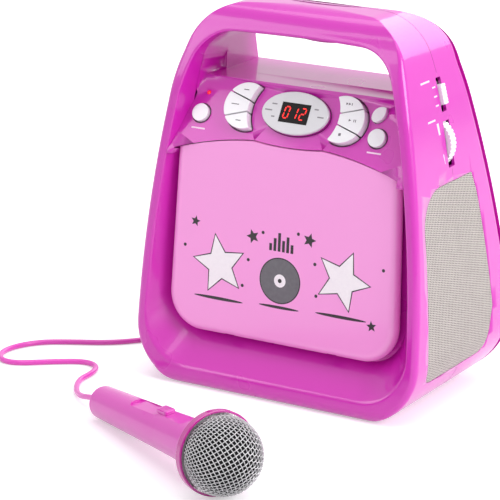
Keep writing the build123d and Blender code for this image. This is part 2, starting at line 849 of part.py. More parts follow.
# ---------------------------------------------------------------- disc deck and drive

with BuildPart() as disc_deck:
    with BuildSketch(floor_plane.offset(-wall)):
        with Locations((0, disc_height)):
            RectangleRounded(136, 136, 10)
    extrude(amount=-deck_wall)
    with BuildSketch(floor_plane.offset(-wall)):
        with Locations((0, disc_height)):
            Circle(disc_radius + 1 + deck_wall)
    extrude(amount=deck_back + wall)
    with BuildSketch(floor_plane.offset(-well_depth)):
        with Locations((0, disc_height)):
            Circle(disc_radius + 1)
    extrude(amount=well_depth, mode=Mode.SUBTRACT)
    with BuildSketch(floor_plane.offset(deck_back)):
        with Locations((0, disc_height)):
            Circle(turntable_radius + 3)
        with Locations(*deck_screw_places):
            Circle(deck_screw_radius)
    extrude(amount=well_depth, mode=Mode.SUBTRACT)
    with BuildSketch(floor_plane.offset(deck_back)):
        with Locations((0, sled_height)):
            RectangleRounded(14, 2 * sled_travel + 12 - 3, 3)
    extrude(amount=well_depth, mode=Mode.SUBTRACT)
keep(disc_deck, "disc_deck")

with BuildPart() as deck_screws:
    with BuildSketch(floor_plane.offset(-0.7)):
        with Locations(*deck_screw_places):
            Circle(deck_screw_radius - 0.05)
    extrude(amount=-(wall + deck_wall - 0.7))
    with BuildSketch(floor_plane.offset(-wall - deck_wall)):
        with Locations(*deck_screw_places):
            Circle(2.5)
    extrude(amount=-1.6)
    with BuildSketch(floor_plane.offset(-wall - deck_wall - 0.7)):
        with Locations(*deck_screw_places):
            Rectangle(3, 0.7)
            Rectangle(0.7, 3)
    extrude(amount=-2, mode=Mode.SUBTRACT)
keep(deck_screws, "deck_screws")

damper_places = [(x, disc_height + v) for x in (-42, 42) for v in (-40, 40)]

with BuildPart() as damper_bushes:
    with BuildSketch(floor_plane.offset(deck_back)):
        with Locations(*damper_places):
            Circle(4)
    extrude(amount=chassis_front - deck_back)
keep(damper_bushes, "damper_bushes")

sled_half = 9.0
sled_window_low = sled_height - sled_travel - sled_half - 2
sled_window_high = sled_height + sled_travel + sled_half + 1

bracket_front = gear_back - 1.2              # bracket behind the sled gear, for its motor
bracket_back = bracket_front - 1.5

with BuildPart() as drive_chassis:
    with BuildSketch(floor_plane.offset(chassis_front)):
        with Locations((0, disc_height - 11)):
            RectangleRounded(102, 116, 6)
        with Locations((0, (sled_window_low + sled_window_high) / 2)):
            Rectangle(2 * rod_x + 9, sled_window_high - sled_window_low, mode=Mode.SUBTRACT)
        with Locations((0, disc_height)):
            Circle(3.2, mode=Mode.SUBTRACT)
    extrude(amount=chassis_back - chassis_front)
    # Rod holders above and below the window
    with BuildSketch(floor_plane.offset(chassis_back)):
        for x in (-rod_x, rod_x):
            with Locations((x, sled_window_low - 2), (x, sled_window_high + 2)):
                Rectangle(2 * rod_radius + 2, 4)
    extrude(amount=-5)
    with BuildSketch(Plane(origin=(floor_plane * Pos(0, sled_window_low - 4, sled_depth)).position,
                           x_dir=(1, 0, 0), z_dir=floor_plane.y_dir)):
        with Locations((-rod_x, 0), (rod_x, 0)):
            Circle(rod_radius)
    extrude(amount=sled_window_high - sled_window_low + 8, mode=Mode.SUBTRACT)
    # Bracket for the sled motor
    with BuildSketch(floor_plane.offset(bracket_back)):
        with Locations((gear_x, sled_height)):
            Rectangle(22, 34)
            Circle(2.6, mode=Mode.SUBTRACT)
    extrude(amount=bracket_front - bracket_back)
    with BuildSketch(floor_plane.offset(bracket_front)):
        with Locations((gear_x + 5, sled_height - 15.5), (gear_x + 5, sled_height + 15.5)):
            Rectangle(12, 3)
    extrude(amount=chassis_back - bracket_front)
keep(drive_chassis, "drive_chassis")

rod_plane = Plane(
    origin=(floor_plane * Pos(0, sled_window_low - 4, sled_depth)).position,
    x_dir=(1, 0, 0),
    z_dir=floor_plane.y_dir,
)

with BuildPart() as sled_rods:
    with BuildSketch(rod_plane):
        with Locations((-rod_x, 0), (rod_x, 0)):
            Circle(rod_radius)
    extrude(amount=sled_window_high - sled_window_low + 8)
keep(sled_rods, "sled_rods")

with BuildPart() as spindle_motor:
    with BuildSketch(floor_plane.offset(chassis_back)):
        with Locations((0, disc_height)):
            Circle(12)
    extrude(amount=-12)
    fillet(spindle_motor.edges().filter_by(GeomType.CIRCLE).sort_by(Axis.Y)[-1], 1.5)
    with BuildSketch(floor_plane.offset(chassis_back)):
        with Locations((0, disc_height)):
            Circle(2.8)
    extrude(amount=chassis_front - chassis_back + 0.6)
    with BuildSketch(floor_plane.offset(chassis_back - 20)):
        with Locations((0, disc_height)):
            Circle(spindle_radius + running_gap)
    extrude(amount=30, mode=Mode.SUBTRACT)
keep(spindle_motor, "spindle_motor")

table_back = chassis_front + 1.4             # back face of the turntable
table_front = table_back + 6.6
hub_front = table_front + 3.4

with BuildPart() as turntable:
    with BuildSketch(floor_plane.offset(table_front - 2)):
        with Locations((0, disc_height)):
            Circle(turntable_radius)
    extrude(amount=2)
    with BuildSketch(floor_plane.offset(table_back)):
        with Locations((0, disc_height)):
            Circle(4.4)
    extrude(amount=table_front - table_back)
    with BuildSketch(floor_plane.offset(table_front)):
        with Locations((0, disc_height)):
            Circle(hub_radius)
    extrude(amount=hub_front - table_front)
    chamfer(turntable.edges().filter_by(GeomType.CIRCLE).sort_by(Axis.Y)[0], 1)
    with BuildSketch(floor_plane.offset(chassis_back - 11.4)):
        with Locations((0, disc_height)):
            Circle(spindle_radius)
    extrude(amount=table_front - chassis_back + 11.4)
keep(turntable, "turntable")

rack_pitch = pi * rack_module
tooth_half = rack_pitch / 4 - 0.2            # half a tooth's width on the pitch line
tooth_lean = tan(radians(20))
addendum = 0.9 * rack_module
dedendum = 1.15 * rack_module
rack_half = 7 * rack_pitch

with BuildPart() as laser_sled:
    with BuildSketch(floor_plane.offset(sled_depth - 4)):
        with Locations((0, sled_height)):
            Rectangle(2 * rod_x - 10, 2 * sled_half)
    extrude(amount=9)
    with BuildSketch(floor_plane.offset(sled_depth - 3)):
        with Locations((0, sled_height)):
            Rectangle(2 * rod_x + 6, 2 * sled_half)
    extrude(amount=6)
    with BuildSketch(rod_plane):
        with Locations((-rod_x, 0), (rod_x, 0)):
            Circle(rod_radius + running_gap)
    extrude(amount=sled_window_high - sled_window_low + 8, mode=Mode.SUBTRACT)
    # Rack along the sled's side
    with BuildSketch(floor_plane.offset(gear_back)):
        with Locations((rod_x + 3, sled_height)):
            Rectangle(rack_face - dedendum - rod_x - 3, 2 * rack_half, align=(Align.MIN, Align.CENTER))
        for index in range(14):
            middle = sled_height + (index - 6.5) * rack_pitch
            with BuildLine():
                Polyline(
                    (rack_face - dedendum - 0.1, middle - tooth_half - dedendum * tooth_lean),
                    (rack_face + addendum, middle - tooth_half + addendum * tooth_lean),
                    (rack_face + addendum, middle + tooth_half - addendum * tooth_lean),
                    (rack_face - dedendum - 0.1, middle + tooth_half + dedendum * tooth_lean), close=True,
                )
            make_face()
    extrude(amount=gear_width)
keep(laser_sled, "laser_sled")

with BuildPart() as laser_lens:
    with BuildSketch(floor_plane.offset(sled_depth + 5)):
        with Locations((0, sled_height)):
            Circle(3.4)
    extrude(amount=2)
    with BuildSketch(floor_plane.offset(sled_depth + 7)):
        with Locations((0, sled_height)):
            Circle(2.6)
    extrude(amount=1.2, taper=30)
keep(laser_lens, "laser_lens")

with BuildPart() as sled_gear:
    with BuildSketch(floor_plane.offset(gear_back)):
        with Locations((gear_x, sled_height)):
            Circle(gear_radius - dedendum)
        for index in range(sled_gear_teeth):
            with Locations(Location((gear_x, sled_height), 360 / sled_gear_teeth * index)):
                with BuildSketch(mode=Mode.PRIVATE) as tooth:
                    with BuildLine():
                        root = gear_radius - dedendum - 0.3
                        tip = gear_radius + addendum
                        Polyline(
                            (root, -tooth_half - dedendum * tooth_lean),
                            (tip, -tooth_half + addendum * tooth_lean),
                            (tip, tooth_half - addendum * tooth_lean),
                            (root, tooth_half + dedendum * tooth_lean),
                            close=True,
                        )
                    make_face()
                add(tooth.sketch)
    extrude(amount=gear_width)
    with BuildSketch(floor_plane.offset(gear_back + gear_width - 0.5)):
        with Locations((gear_x, sled_height)):
            Circle(spindle_radius)
    extrude(amount=-15)
keep(sled_gear, "sled_gear")

motor_radius = 9.0

with BuildPart() as sled_motor:
    with BuildSketch(floor_plane.offset(bracket_back)):
        with Locations((gear_x, sled_height)):
            Circle(motor_radius)
    extrude(amount=-14)
    fillet(sled_motor.edges().filter_by(GeomType.CIRCLE).sort_by(Axis.Y)[-1], 1.2)
    with BuildSketch(floor_plane.offset(bracket_back - 20)):
        with Locations((gear_x, sled_height)):
            Circle(spindle_radius + running_gap)
    extrude(amount=30, mode=Mode.SUBTRACT)
keep(sled_motor, "sled_motor")

# ---------------------------------------------------------------- controls on the panel

with BuildPart() as control_board:
    with BuildSketch(panel_plane.offset(-board_depth)):
        with Locations((0, 33)):
            Rectangle(2 * 79, 29)
    extrude(amount=-board_thickness)
keep(control_board, "control_board")

with BuildPart() as display_module:
    with BuildSketch(panel_plane.offset(-board_depth)):
        with Locations(display_place):
            Rectangle(24, 16)
    extrude(amount=board_depth + visor_rise - 2.7)
    chamfer(display_module.faces().sort_by(out_of_panel)[-1].edges(), 0.5)
keep(display_module, "display_module")

with BuildPart() as display_cover:
    with BuildSketch(panel_plane.offset(visor_rise - 1.9)):
        with Locations(display_place):
            Ellipse(display_half_width, display_half_height)
    extrude(amount=2.4)
    chamfer(display_cover.faces().sort_by(out_of_panel)[-1].edges(), 0.5)
keep(display_cover, "display_cover")

with BuildPart() as indicator_leds:
    with BuildSketch(panel_plane.offset(-board_depth)):
        with Locations(power_led_place):
            Circle(1.5)
    extrude(amount=board_depth + 1)
    fillet(indicator_leds.faces().sort_by(out_of_panel)[-1].edges(), 1.2)
    with BuildSketch(panel_plane.offset(-board_depth)):
        with Locations(*indicator_places):
            Circle(1.2)
    extrude(amount=board_depth + visor_rise - 2.4)
keep(indicator_leds, "indicator_leds")

stem_radius = 2.2
stem_end = switch_top + key_travel + 0.25


def key_from(face, top, stem_place):
    """A key: cap through its window, and a stem that ends just short of its switch."""
    with BuildPart() as key:
        with BuildSketch(panel_plane.offset(key_foot)):
            add(face)
        extrude(amount=top - key_foot)
        crown = key.faces().sort_by(lambda f: panel_plane.to_local_coords(f.center()).Z)[-1]
        fillet(crown.edges(), 0.5)
        with BuildSketch(panel_plane.offset(stem_end)):
            with Locations(stem_place):
                Circle(stem_radius)
        extrude(amount=key_foot - stem_end)
    return key


switch_places = []

for side, names in crescent_keys.items():
    for face, (name, stem_place) in zip(crescent_faces(side), names.items()):
        key = key_from(face, visor_rise + key_rise, stem_place)
        switch_places.append(stem_place)
        keep(key, name)

for name, place in round_key_places.items():
    with BuildSketch() as round_face:
        with Locations(place):
            Circle(key_radius)
    key = key_from(round_face.sketch, key_rise + 0.6, place)
    switch_places.append(place)
    keep(key, name)

with BuildSketch() as leaf_face:
    with Locations(leaf_key_place):
        add(leaf_outline(0))
key = key_from(leaf_face.sketch, key_rise + 0.6, leaf_key_place)
switch_places.append(leaf_key_place)
keep(key, "intro_key")

with BuildPart() as tact_switches:
    with BuildSketch(panel_plane.offset(-board_depth)):
        with Locations(*switch_places):
            Rectangle(6, 6)
    extrude(amount=3.4)
    with BuildSketch(panel_plane.offset(-board_depth)):
        with Locations(*switch_places):
            Circle(1.75)
    extrude(amount=switch_top + board_depth)
keep(tact_switches, "tact_switches")

# ---------------------------------------------------------------- controls in the right side

rib_count = 40
pot_bore = 3.0

with BuildPart() as volume_wheel:
    with BuildSketch(Plane.XZ.offset(-seam_y + volume_width / 2)):
        with Locations((volume_x, volume_z)):
            Circle(volume_radius)
            with PolarLocations(volume_radius, rib_count):
                Circle(0.7, mode=Mode.SUBTRACT)
    extrude(amount=-volume_width)
    with BuildSketch(Plane.XZ.offset(-seam_y + volume_width / 2)):
        with Locations((volume_x, volume_z)):
            Circle(volume_radius - 4)
            Circle(5, mode=Mode.SUBTRACT)
    extrude(amount=-2, mode=Mode.SUBTRACT)
    with BuildSketch(Plane.XZ.offset(-seam_y - volume_width / 2)):
        with Locations((volume_x, volume_z)):
            Circle(pot_bore)
    extrude(amount=-8)
keep(volume_wheel, "volume_wheel")

flange_depth = wall + 1.4     # of the slider's flange, behind the side's outer face
lug_length = 1.6              # of the lug under the flange that moves the switch
switch_thickness, switch_length = 5.0, 16.0
switch_depth = flange_depth + 1 + lug_length + 0.3 + switch_thickness / 2

with BuildPart() as function_slider:
    with BuildSketch(slider_plane.offset(-flange_depth - 0.2)):
        RectangleRounded(slider_width, slider_length, 0.8)
    extrude(amount=flange_depth + 0.2 + slider_rise)
    fillet(function_slider.faces().sort_by(Axis.X)[-1].edges(), 0.8)
    with BuildSketch(slider_plane.offset(slider_rise + 1)):
        with GridLocations(1, 2.6, 1, 5):
            Rectangle(slider_width + 2, 0.9)
    extrude(amount=-1.6, mode=Mode.SUBTRACT)
    with BuildSketch(slider_plane.offset(-flange_depth)):
        RectangleRounded(slider_width + 4, slider_length + 3, 1)
    extrude(amount=-1)
    with BuildSketch(slider_plane.offset(-flange_depth - 1)):
        Rectangle(4, 3)
    extrude(amount=-lug_length)
keep(function_slider, "function_slider")

with BuildPart() as side_board:
    with BuildSketch(Plane.XZ.offset(-side_board_y)):
        with Locations((78, 186)):
            Rectangle(24, 44)
        with Locations((82.2, 216)):
            Rectangle(5.6, 22)
    extrude(amount=-board_thickness)
keep(side_board, "side_board")

# Volume potentiometer, and the function switch beside its slider
with BuildPart() as side_controls:
    with BuildSketch(Plane.XZ.offset(-seam_y - volume_width / 2 - 1)):
        with Locations((volume_x, volume_z)):
            Circle(8.5)
            Circle(pot_bore + running_gap, mode=Mode.SUBTRACT)
    extrude(amount=-(side_board_y - seam_y - volume_width / 2 - 1))
    with BuildSketch(Plane.XZ.offset(-side_board_y + 14)):
        switch_middle = slider_plane.origin - slider_plane.z_dir * switch_depth
        with Locations(Location((switch_middle.X, switch_middle.Z), slider_tilt)):
            Rectangle(switch_thickness, switch_length)
    extrude(amount=-14)
keep(side_controls, "side_controls")

# ---------------------------------------------------------------- loudspeakers


def speaker_section(side):
    """Half section of a loudspeaker: local X runs into the cabinet, local Y is the radius."""
    return Plane(origin=(side * speaker_flange_x, speaker_y, speaker_z), x_dir=(-side, 0, 0), z_dir=(0, 1, 0))


frame_profile = [
    (0, speaker_radius), (1.5, speaker_radius), (1.5, 36), (14, 23.5), (15.8, 21.7), (15.8, 20.5),
    (speaker_depth - 1, 20.5), (speaker_depth - 1, 0), (18, 0), (18, 14), (15.6, 14), (12.5, 21.5), (0, 33),
]
cone_profile = [
    (-1.2, 34.6), (0, 34.6), (0, 31.2), (12.4, 12), (16.8, 12), (16.8, 11.2), (12, 11.2), (9.6, 0),
    (8.8, 0), (11.2, 11.2), (-0.8, 30.4), (-1.2, 30.4),
]

for side, word in ((-1, "left"), (1, "right")):
    axis = Axis((side * speaker_flange_x, speaker_y, speaker_z), (1, 0, 0))
    for profile, piece_name in ((frame_profile, "speaker_frame"), (cone_profile, "speaker_cone")):
        with BuildPart() as speaker_piece:
            with BuildSketch(speaker_section(side)):
                with BuildLine():
                    Polyline(*profile, close=True)
                make_face()
            revolve(axis=axis)
        keep(speaker_piece, f"{piece_name}_{word}")

# ---------------------------------------------------------------- main board, transformer and sockets

main_board_width = 134.0
main_board_height = 58.0
main_board_z = 127.0

with BuildPart() as main_board:
    with BuildSketch(Plane.XZ.offset(-main_board_y)):
        with Locations((-5, main_board_z)):
            Rectangle(main_board_width, main_board_height)
    extrude(amount=-board_thickness)
    # Chips and capacitors on its front
    with BuildSketch(Plane.XZ.offset(-main_board_y)):
        with Locations((-10, main_board_z)):
            Rectangle(16, 16)
        with Locations((24, main_board_z - 8)):
            Rectangle(20, 8)
        with Locations((0, main_board_z + 20), (14, main_board_z + 20), (46, main_board_z - 18)):
            Circle(4)
    extrude(amount=3)
keep(main_board, "main_board")

with BuildPart() as transformer:
    with BuildSketch(Plane.XY.offset(wall)):
        with Locations((0, 32)):
            RectangleRounded(62, 20, 3)
    extrude(amount=2)
    with BuildSketch(Plane.XY.offset(wall)):
        with Locations((0, 32)):
            Rectangle(44, 16)
    extrude(amount=36)
    with BuildSketch(Plane.XY.offset(wall + 8)):
        with Locations((0, 32)):
            RectangleRounded(26, 27, 4)
    extrude(amount=20)
keep(transformer, "transformer")

socket_back_y = main_board_y + board_thickness

with BuildPart() as mic_jacks:
    with BuildSketch(Plane.XZ.offset(-socket_back_y)):
        for x in jack_places.values():
            with Locations((x, jack_z - 2)):
                Rectangle(13, 18)
    extrude(amount=-45)
    add(cabinet_block(wall), mode=Mode.INTERSECT)
    for x in jack_places.values():
        with BuildSketch(back_plane(x, jack_z).offset(-wall - 1)):
            Circle(5)
        extrude(amount=wall + 1.6)
        with BuildSketch(back_plane(x, jack_z).offset(-jack_depth)):
            Circle(jack_bore_radius)
        extrude(amount=jack_depth + 2, mode=Mode.SUBTRACT)
keep(mic_jacks, "mic_jacks")

with BuildPart() as usb_port:
    with BuildSketch(Plane.XZ.offset(-socket_back_y)):
        with Locations((usb_x, jack_z - 3)):
            Rectangle(usb_width - 1, 8)
    extrude(amount=-20)
    with BuildSketch(back_plane(usb_x, jack_z).offset(-15)):
        Rectangle(usb_width - 0.6, usb_height - 0.6)
    extrude(amount=15.2)
    with BuildSketch(back_plane(usb_x, jack_z).offset(-12)):
        Rectangle(usb_width - 2, usb_height - 2)
    extrude(amount=14, mode=Mode.SUBTRACT)
    with BuildSketch(back_plane(usb_x, jack_z).offset(-12)):
        with Locations((0, 1.1)):
            Rectangle(usb_width - 3.2, 1.8)
    extrude(amount=10)
keep(usb_port, "usb_port")

with BuildPart() as ac_inlet:
    with BuildSketch(back_plane(*inlet_place).offset(-wall)):
        RectangleRounded(inlet_width + 7, inlet_height + 6, 3)
    extrude(amount=-2)
    with BuildSketch(back_plane(*inlet_place).offset(-wall - 14)):
        RectangleRounded(inlet_width - 0.6, inlet_height - 0.6, 2.7)
    extrude(amount=wall + 14.2)
    with BuildSketch(back_plane(*inlet_place).offset(-12)):
        RectangleRounded(17, 9, 4)
    extrude(amount=14, mode=Mode.SUBTRACT)
    with BuildSketch(back_plane(*inlet_place).offset(-12.5)):
        with Locations((-4, 0), (4, 0)):
            Circle(1.1)
    extrude(amount=11)
keep(ac_inlet, "ac_inlet")

# ---------------------------------------------------------------- hand microphone

mic_tail = (-81.9, -137.5)
mic_heading = -28.64                          # degrees from +X, seen from above
rim_from_tail = 3.0
ring_from_tail = 157.0
ring_width = 5.5
mic_rise = degrees(
    atan2(mic_ring_radius - mic_tail_radius, ring_from_tail + ring_width / 2 - rim_from_tail)
)
mic_axis = (
    cos(radians(mic_rise)) * cos(radians(mic_heading)),
    cos(radians(mic_rise)) * sin(radians(mic_heading)),
    sin(radians(mic_rise)),
)
mic_side = (-sin(radians(mic_heading)), cos(radians(mic_heading)), 0)
mic_tail_z = mic_tail_radius * cos(radians(mic_rise)) - rim_from_tail * sin(radians(mic_rise)) + 0.1
mic_plane = Plane(origin=(*mic_tail, mic_tail_z), x_dir=mic_side, z_dir=mic_axis)
mic_section = Plane(origin=mic_plane.origin, x_dir=mic_axis, z_dir=mic_side)
mic_turn_axis = Axis(mic_plane.origin, mic_axis)
mesh_from = 148.0                             # front end of the handle
waist_from_tail = 100.0
waist_radius = 14.0
ball_from_tail = mic_length - mic_ball_radius
mesh_wall = 1.2
slot_turn = 7.0                               # degrees that the switch slot is turned off the top
slot_low, slot_high = 54.0, 130.0
slot_width = 12.0
slot_sink = 1.8
switch_from_tail = 97.0
switch_length = 13.0
switch_travel = 5.0


def mic_top_plane(radius):
    """Plane along the microphone at a height over its axis; local X runs toward its head."""
    turn = radians(slot_turn)
    up = Vector(*mic_axis).cross(Vector(*mic_side))
    normal = up * cos(turn) - Vector(*mic_side) * sin(turn)
    return Plane(origin=mic_plane.origin + normal * radius, x_dir=mic_axis, z_dir=normal)


def handle_radius(from_tail):
    """Radius of the conical handle."""
    if from_tail < waist_from_tail:
        return mic_tail_radius + (waist_radius - mic_tail_radius) * from_tail / waist_from_tail
    return waist_radius + (mic_neck_radius - waist_radius) * (from_tail - waist_from_tail) / (
        mesh_from - waist_from_tail)


relief_length = 7.0
relief_radius = 3.4

with BuildPart() as mic_handle:
    with BuildSketch(mic_section):
        with BuildLine():
            Polyline((0, 0), (0, mic_tail_radius - 2.5))
            ThreePointArc((0, mic_tail_radius - 2.5), (0.9, mic_tail_radius - 0.7),
                          (rim_from_tail, mic_tail_radius))
            Polyline(
                (rim_from_tail, mic_tail_radius), (waist_from_tail, waist_radius),
                (mesh_from, mic_neck_radius), (mesh_from, 13), (mesh_from + 8, 13),
                (mesh_from + 8, 11), (mesh_from - 4, 11),
                (waist_from_tail, waist_radius - 4), (8, mic_tail_radius - 4), (8, 0), (0, 0),
            )
        make_face()
    revolve(axis=mic_turn_axis)
    with BuildSketch(mic_plane.offset(-1)):
        Circle(relief_radius)
    extrude(amount=12, mode=Mode.SUBTRACT)
    # Recess for the switch along the top
    with BuildSketch(mic_top_plane(handle_radius(slot_high) - slot_sink)):
        with Locations(((slot_low + slot_high) / 2, 0)):
            RectangleRounded(slot_high - slot_low, slot_width, 4)
    extrude(amount=8, mode=Mode.SUBTRACT)
    with BuildSketch(mic_top_plane(handle_radius(slot_low) - slot_sink)):
        with Locations(((slot_low + waist_from_tail) / 2 - 3, 0)):
            RectangleRounded(waist_from_tail - slot_low - 6, slot_width, 4)
    extrude(amount=8, mode=Mode.SUBTRACT)
    with BuildSketch(mic_top_plane(0)):
        with Locations((switch_from_tail - switch_travel / 2, 0)):
            RectangleRounded(9 + switch_travel, 4.4, 1)
    extrude(amount=20, mode=Mode.SUBTRACT)
keep(mic_handle, "mic_handle")

with BuildPart() as mic_ring:
    with BuildSketch(mic_plane.offset(ring_from_tail)):
        Circle(mic_ring_radius)
        Circle(mic_ball_radius + 0.35, mode=Mode.SUBTRACT)
    extrude(amount=ring_width)
    fillet(mic_ring.edges().filter_by(GeomType.CIRCLE).sort_by(SortBy.RADIUS)[-2:], 0.7)
keep(mic_ring, "mic_ring")

neck_to = ring_from_tail + ring_width

with BuildPart() as mic_ball:
    with BuildSketch(mic_section):
        with BuildLine():
            inner_ball = mic_ball_radius - mesh_wall
            outer_start = (neck_to, sqrt(mic_ball_radius ** 2 - (ball_from_tail - neck_to) ** 2))
            inner_start = (neck_to, sqrt(inner_ball ** 2 - (ball_from_tail - neck_to) ** 2))
            Polyline(
                inner_start, (ring_from_tail, inner_start[1]), (mesh_from, mic_neck_radius - mesh_wall),
                (mesh_from, mic_neck_radius), (ring_from_tail - 0.5, mic_ball_radius + 0.3),
                (neck_to, mic_ball_radius + 0.3), outer_start,
            )
            ThreePointArc(outer_start, (ball_from_tail, mic_ball_radius), (mic_length, 0))
            Line((mic_length, 0), (mic_length - mesh_wall, 0))
            ThreePointArc((mic_length - mesh_wall, 0), (ball_from_tail, inner_ball), inner_start)
        make_face()
    revolve(axis=mic_turn_axis)
keep(mic_ball, "mic_ball")

with BuildPart() as mic_capsule:
    with BuildSketch(mic_plane.offset(mesh_from - 2)):
        Circle(10.8)
    extrude(amount=12)
    with BuildSketch(mic_plane.offset(mesh_from + 10)):
        Circle(15)
    extrude(amount=14)
    chamfer(mic_capsule.edges().filter_by(GeomType.CIRCLE).sort_by(lambda e: (e @ 0).X)[-1], 3)
keep(mic_capsule, "mic_capsule")

switch_seat = handle_radius(slot_high) - slot_sink

with BuildPart() as mic_switch:
    with BuildSketch(mic_top_plane(switch_seat + 0.1)):
        with Locations((switch_from_tail, 0)):
            RectangleRounded(switch_length, 8, 1.5)
    extrude(amount=2.6)
    fillet(mic_switch.faces().sort_by(Axis.Z)[-1].edges(), 0.8)
    with BuildSketch(mic_top_plane(switch_seat + 3)):
        with Locations((switch_from_tail, 0)):
            with GridLocations(2.4, 1, 3, 1):
                Rectangle(0.8, 10)
    extrude(amount=-1, mode=Mode.SUBTRACT)
    with BuildSketch(mic_top_plane(switch_seat + 0.1)):
        with Locations((switch_from_tail, 0)):
            Rectangle(8, 4)
    extrude(amount=-4.5)
keep(mic_switch, "mic_switch")

lead_radius = lead_diameter / 2

with BuildPart() as mic_strain_relief:
    with BuildSketch(mic_plane.offset(8)):
        Circle(relief_radius + 1.2)
    extrude(amount=1.5)
    with BuildSketch(mic_plane.offset(8)):
        Circle(relief_radius - 0.05)
    extrude(amount=-8)
    with BuildSketch(mic_plane):
        Circle(relief_radius - 0.05)
    extrude(amount=-relief_length, taper=5)
keep(mic_strain_relief, "mic_strain_relief")

# ---------------------------------------------------------------- plug and lead

jack_1 = back_plane(jack_places["mic_jack_1"], jack_z)
plug_tip_radius = jack_bore_radius - 0.08
plug_length = 40.0                            # from the back wall to the lead

with BuildPart() as mic_plug:
    with BuildSketch(jack_1.offset(0.8)):
        Circle(plug_tip_radius)
    extrude(amount=-(jack_depth - 0.8))
    chamfer(mic_plug.edges().filter_by(GeomType.CIRCLE).sort_by(Axis.Y)[0], 1.6)
    with BuildSketch(jack_1.offset(0.8)):
        Circle(5.5)
    extrude(amount=26)
    chamfer(mic_plug.edges().filter_by(GeomType.CIRCLE).sort_by(Axis.Y)[-1], 0.8)
    with BuildSketch(jack_1.offset(26.8)):
        Circle(3.6)
    extrude(amount=plug_length - 26.8, taper=5)
keep(mic_plug, "mic_plug")

coil_x = 12.0
coil_north_y = 151.8
coil_low_z = 2.9
coil_high_z = coil_low_z + coil_pitch
coil_middle_y = coil_north_y - coil_radius

# Stretch from the microphone to the coil, and from the plug to the coil
mic_stretch = [
    (-88, -134.1, 10.3), (-96.5, -129.5, 9.2), (-112.5, -121, 4.1), (-126, -107.5, 2.1),
    (-136.5, -89, 2.1), (-136, -72.5, 2.1), (-141.5, -58, 2.1), (-155.5, -54.5, 2.1),
    (-174, -66.5, 2.1), (-195.5, -84, 2.1),
    (-209.5, -83.5, 2.1), (-218.5, -72, 2.1), (-219, -55, 2.1), (-208, -35.5, 2.1), (-186, -22.5, 2.1),
    (-166, -12.5, 2.1), (-148, 4, 2.1), (-131, 30, 2.1), (-124, 58, 2.1), (-109, 86, 2.1), (-84, 103, 2.1),
    (-56, 105, 2.1), (-30, 97, 2.2), (-11, 94.2, 2.9), (8, 94.2, 2.9),
]
plug_stretch = [
    (-62, 114.1, 138.6), (-62, 130, 142.1), (-62.3, 143, 131), (-62.3, 147, 112), (-62.5, 148, 85),
    (-62, 147.5, 58), (-61, 148.5, 34), (-58, 153, 14), (-48, 158, 4), (-30, 157, 2.2), (-16, 153.8, 5.0),
    (-4, 151.8, 7.5), (8, 151.8, 7.5),
]


def bend_radii(points):
    """Radius of the arc at each inner point: it takes 0.45 of the shorter run beside it."""
    radii = []
    for before, here, after in zip(points, points[1:], points[2:]):
        arriving = Vector(*here) - Vector(*before)
        leaving = Vector(*after) - Vector(*here)
        half_turn = radians(arriving.get_angle(leaving)) / 2
        radii.append(0.45 * min(arriving.length, leaving.length) / tan(half_turn))
    return radii


for name, route in (("mic_cord", mic_stretch), ("plug_cord", plug_stretch)):
    radii = bend_radii(route)
    start = Plane(origin=route[0], z_dir=Vector(*route[1]) - Vector(*route[0]))
    with BuildPart() as cord:
        with BuildLine() as run:
            FilletPolyline(*route, radius=radii)
        with BuildSketch(start):
            Circle(lead_radius)
        sweep()
    length = run.wires()[0].length
    section = pi * lead_radius ** 2
    print(name, "radii", [round(r, 1) for r in radii])
    print(name, "length", round(length, 1), "volume over section", round(cord.part.volume / section, 1))
    keep(cord, name)

# The coil: half turns on two centres wind in on top, and out again underneath
coil_radii = [coil_radius - coil_pitch / 2 * k for k in range(coil_half_turns)]
climb_radius = coil_radii[-1] - coil_pitch / 2
climb_reach = sqrt(climb_radius ** 2 + (coil_pitch / 2) ** 2)

with BuildPart() as cord_coil:
    with BuildLine() as winding:
        Line((coil_x - lead_diameter, coil_north_y, coil_high_z), (coil_x, coil_north_y, coil_high_z))
        y = coil_north_y
        side = 1
        for radius in coil_radii:
            reach = (coil_x + side * radius, y - side * radius, coil_high_z)
            ThreePointArc((coil_x, y, coil_high_z), reach, (coil_x, y - 2 * side * radius, coil_high_z))
            y -= 2 * side * radius
            side = -side
        middle = (coil_x + side * climb_reach, y - side * climb_radius, coil_low_z + coil_pitch / 2)
        TangentArc((coil_x, y, coil_high_z), middle, tangent=(side, 0, 0))
        y -= 2 * side * climb_radius
        TangentArc((coil_x, y, coil_low_z), middle, tangent=(side, 0, 0))
        side = -side
        for radius in reversed(coil_radii):
            reach = (coil_x + side * radius, y - side * radius, coil_low_z)
            ThreePointArc((coil_x, y, coil_low_z), reach, (coil_x, y - 2 * side * radius, coil_low_z))
            y -= 2 * side * radius
            side = -side
        Line((coil_x, y, coil_low_z), (coil_x - lead_diameter, y, coil_low_z))
    with BuildSketch(Plane(origin=(coil_x - lead_diameter, coil_north_y, coil_high_z), z_dir=(1, 0, 0))):
        Circle(lead_radius)
    sweep()
keep(cord_coil, "cord_coil")

coil_wire = winding.wires()[0]
coil_length = coil_wire.length
samples = [coil_wire @ (index / 600) for index in range(601)]
step = coil_length / 600
apart = int(pi * lead_diameter / step) + 1    # samples that are next to each other along the wire
least = min(
    (samples[i] - samples[j]).length for i in range(601) for j in range(i + apart, 601)
)
print("coil length", round(coil_length, 1), "valid", cord_coil.part.is_valid)
print("coil least gap to itself", round(least - lead_diameter, 2))

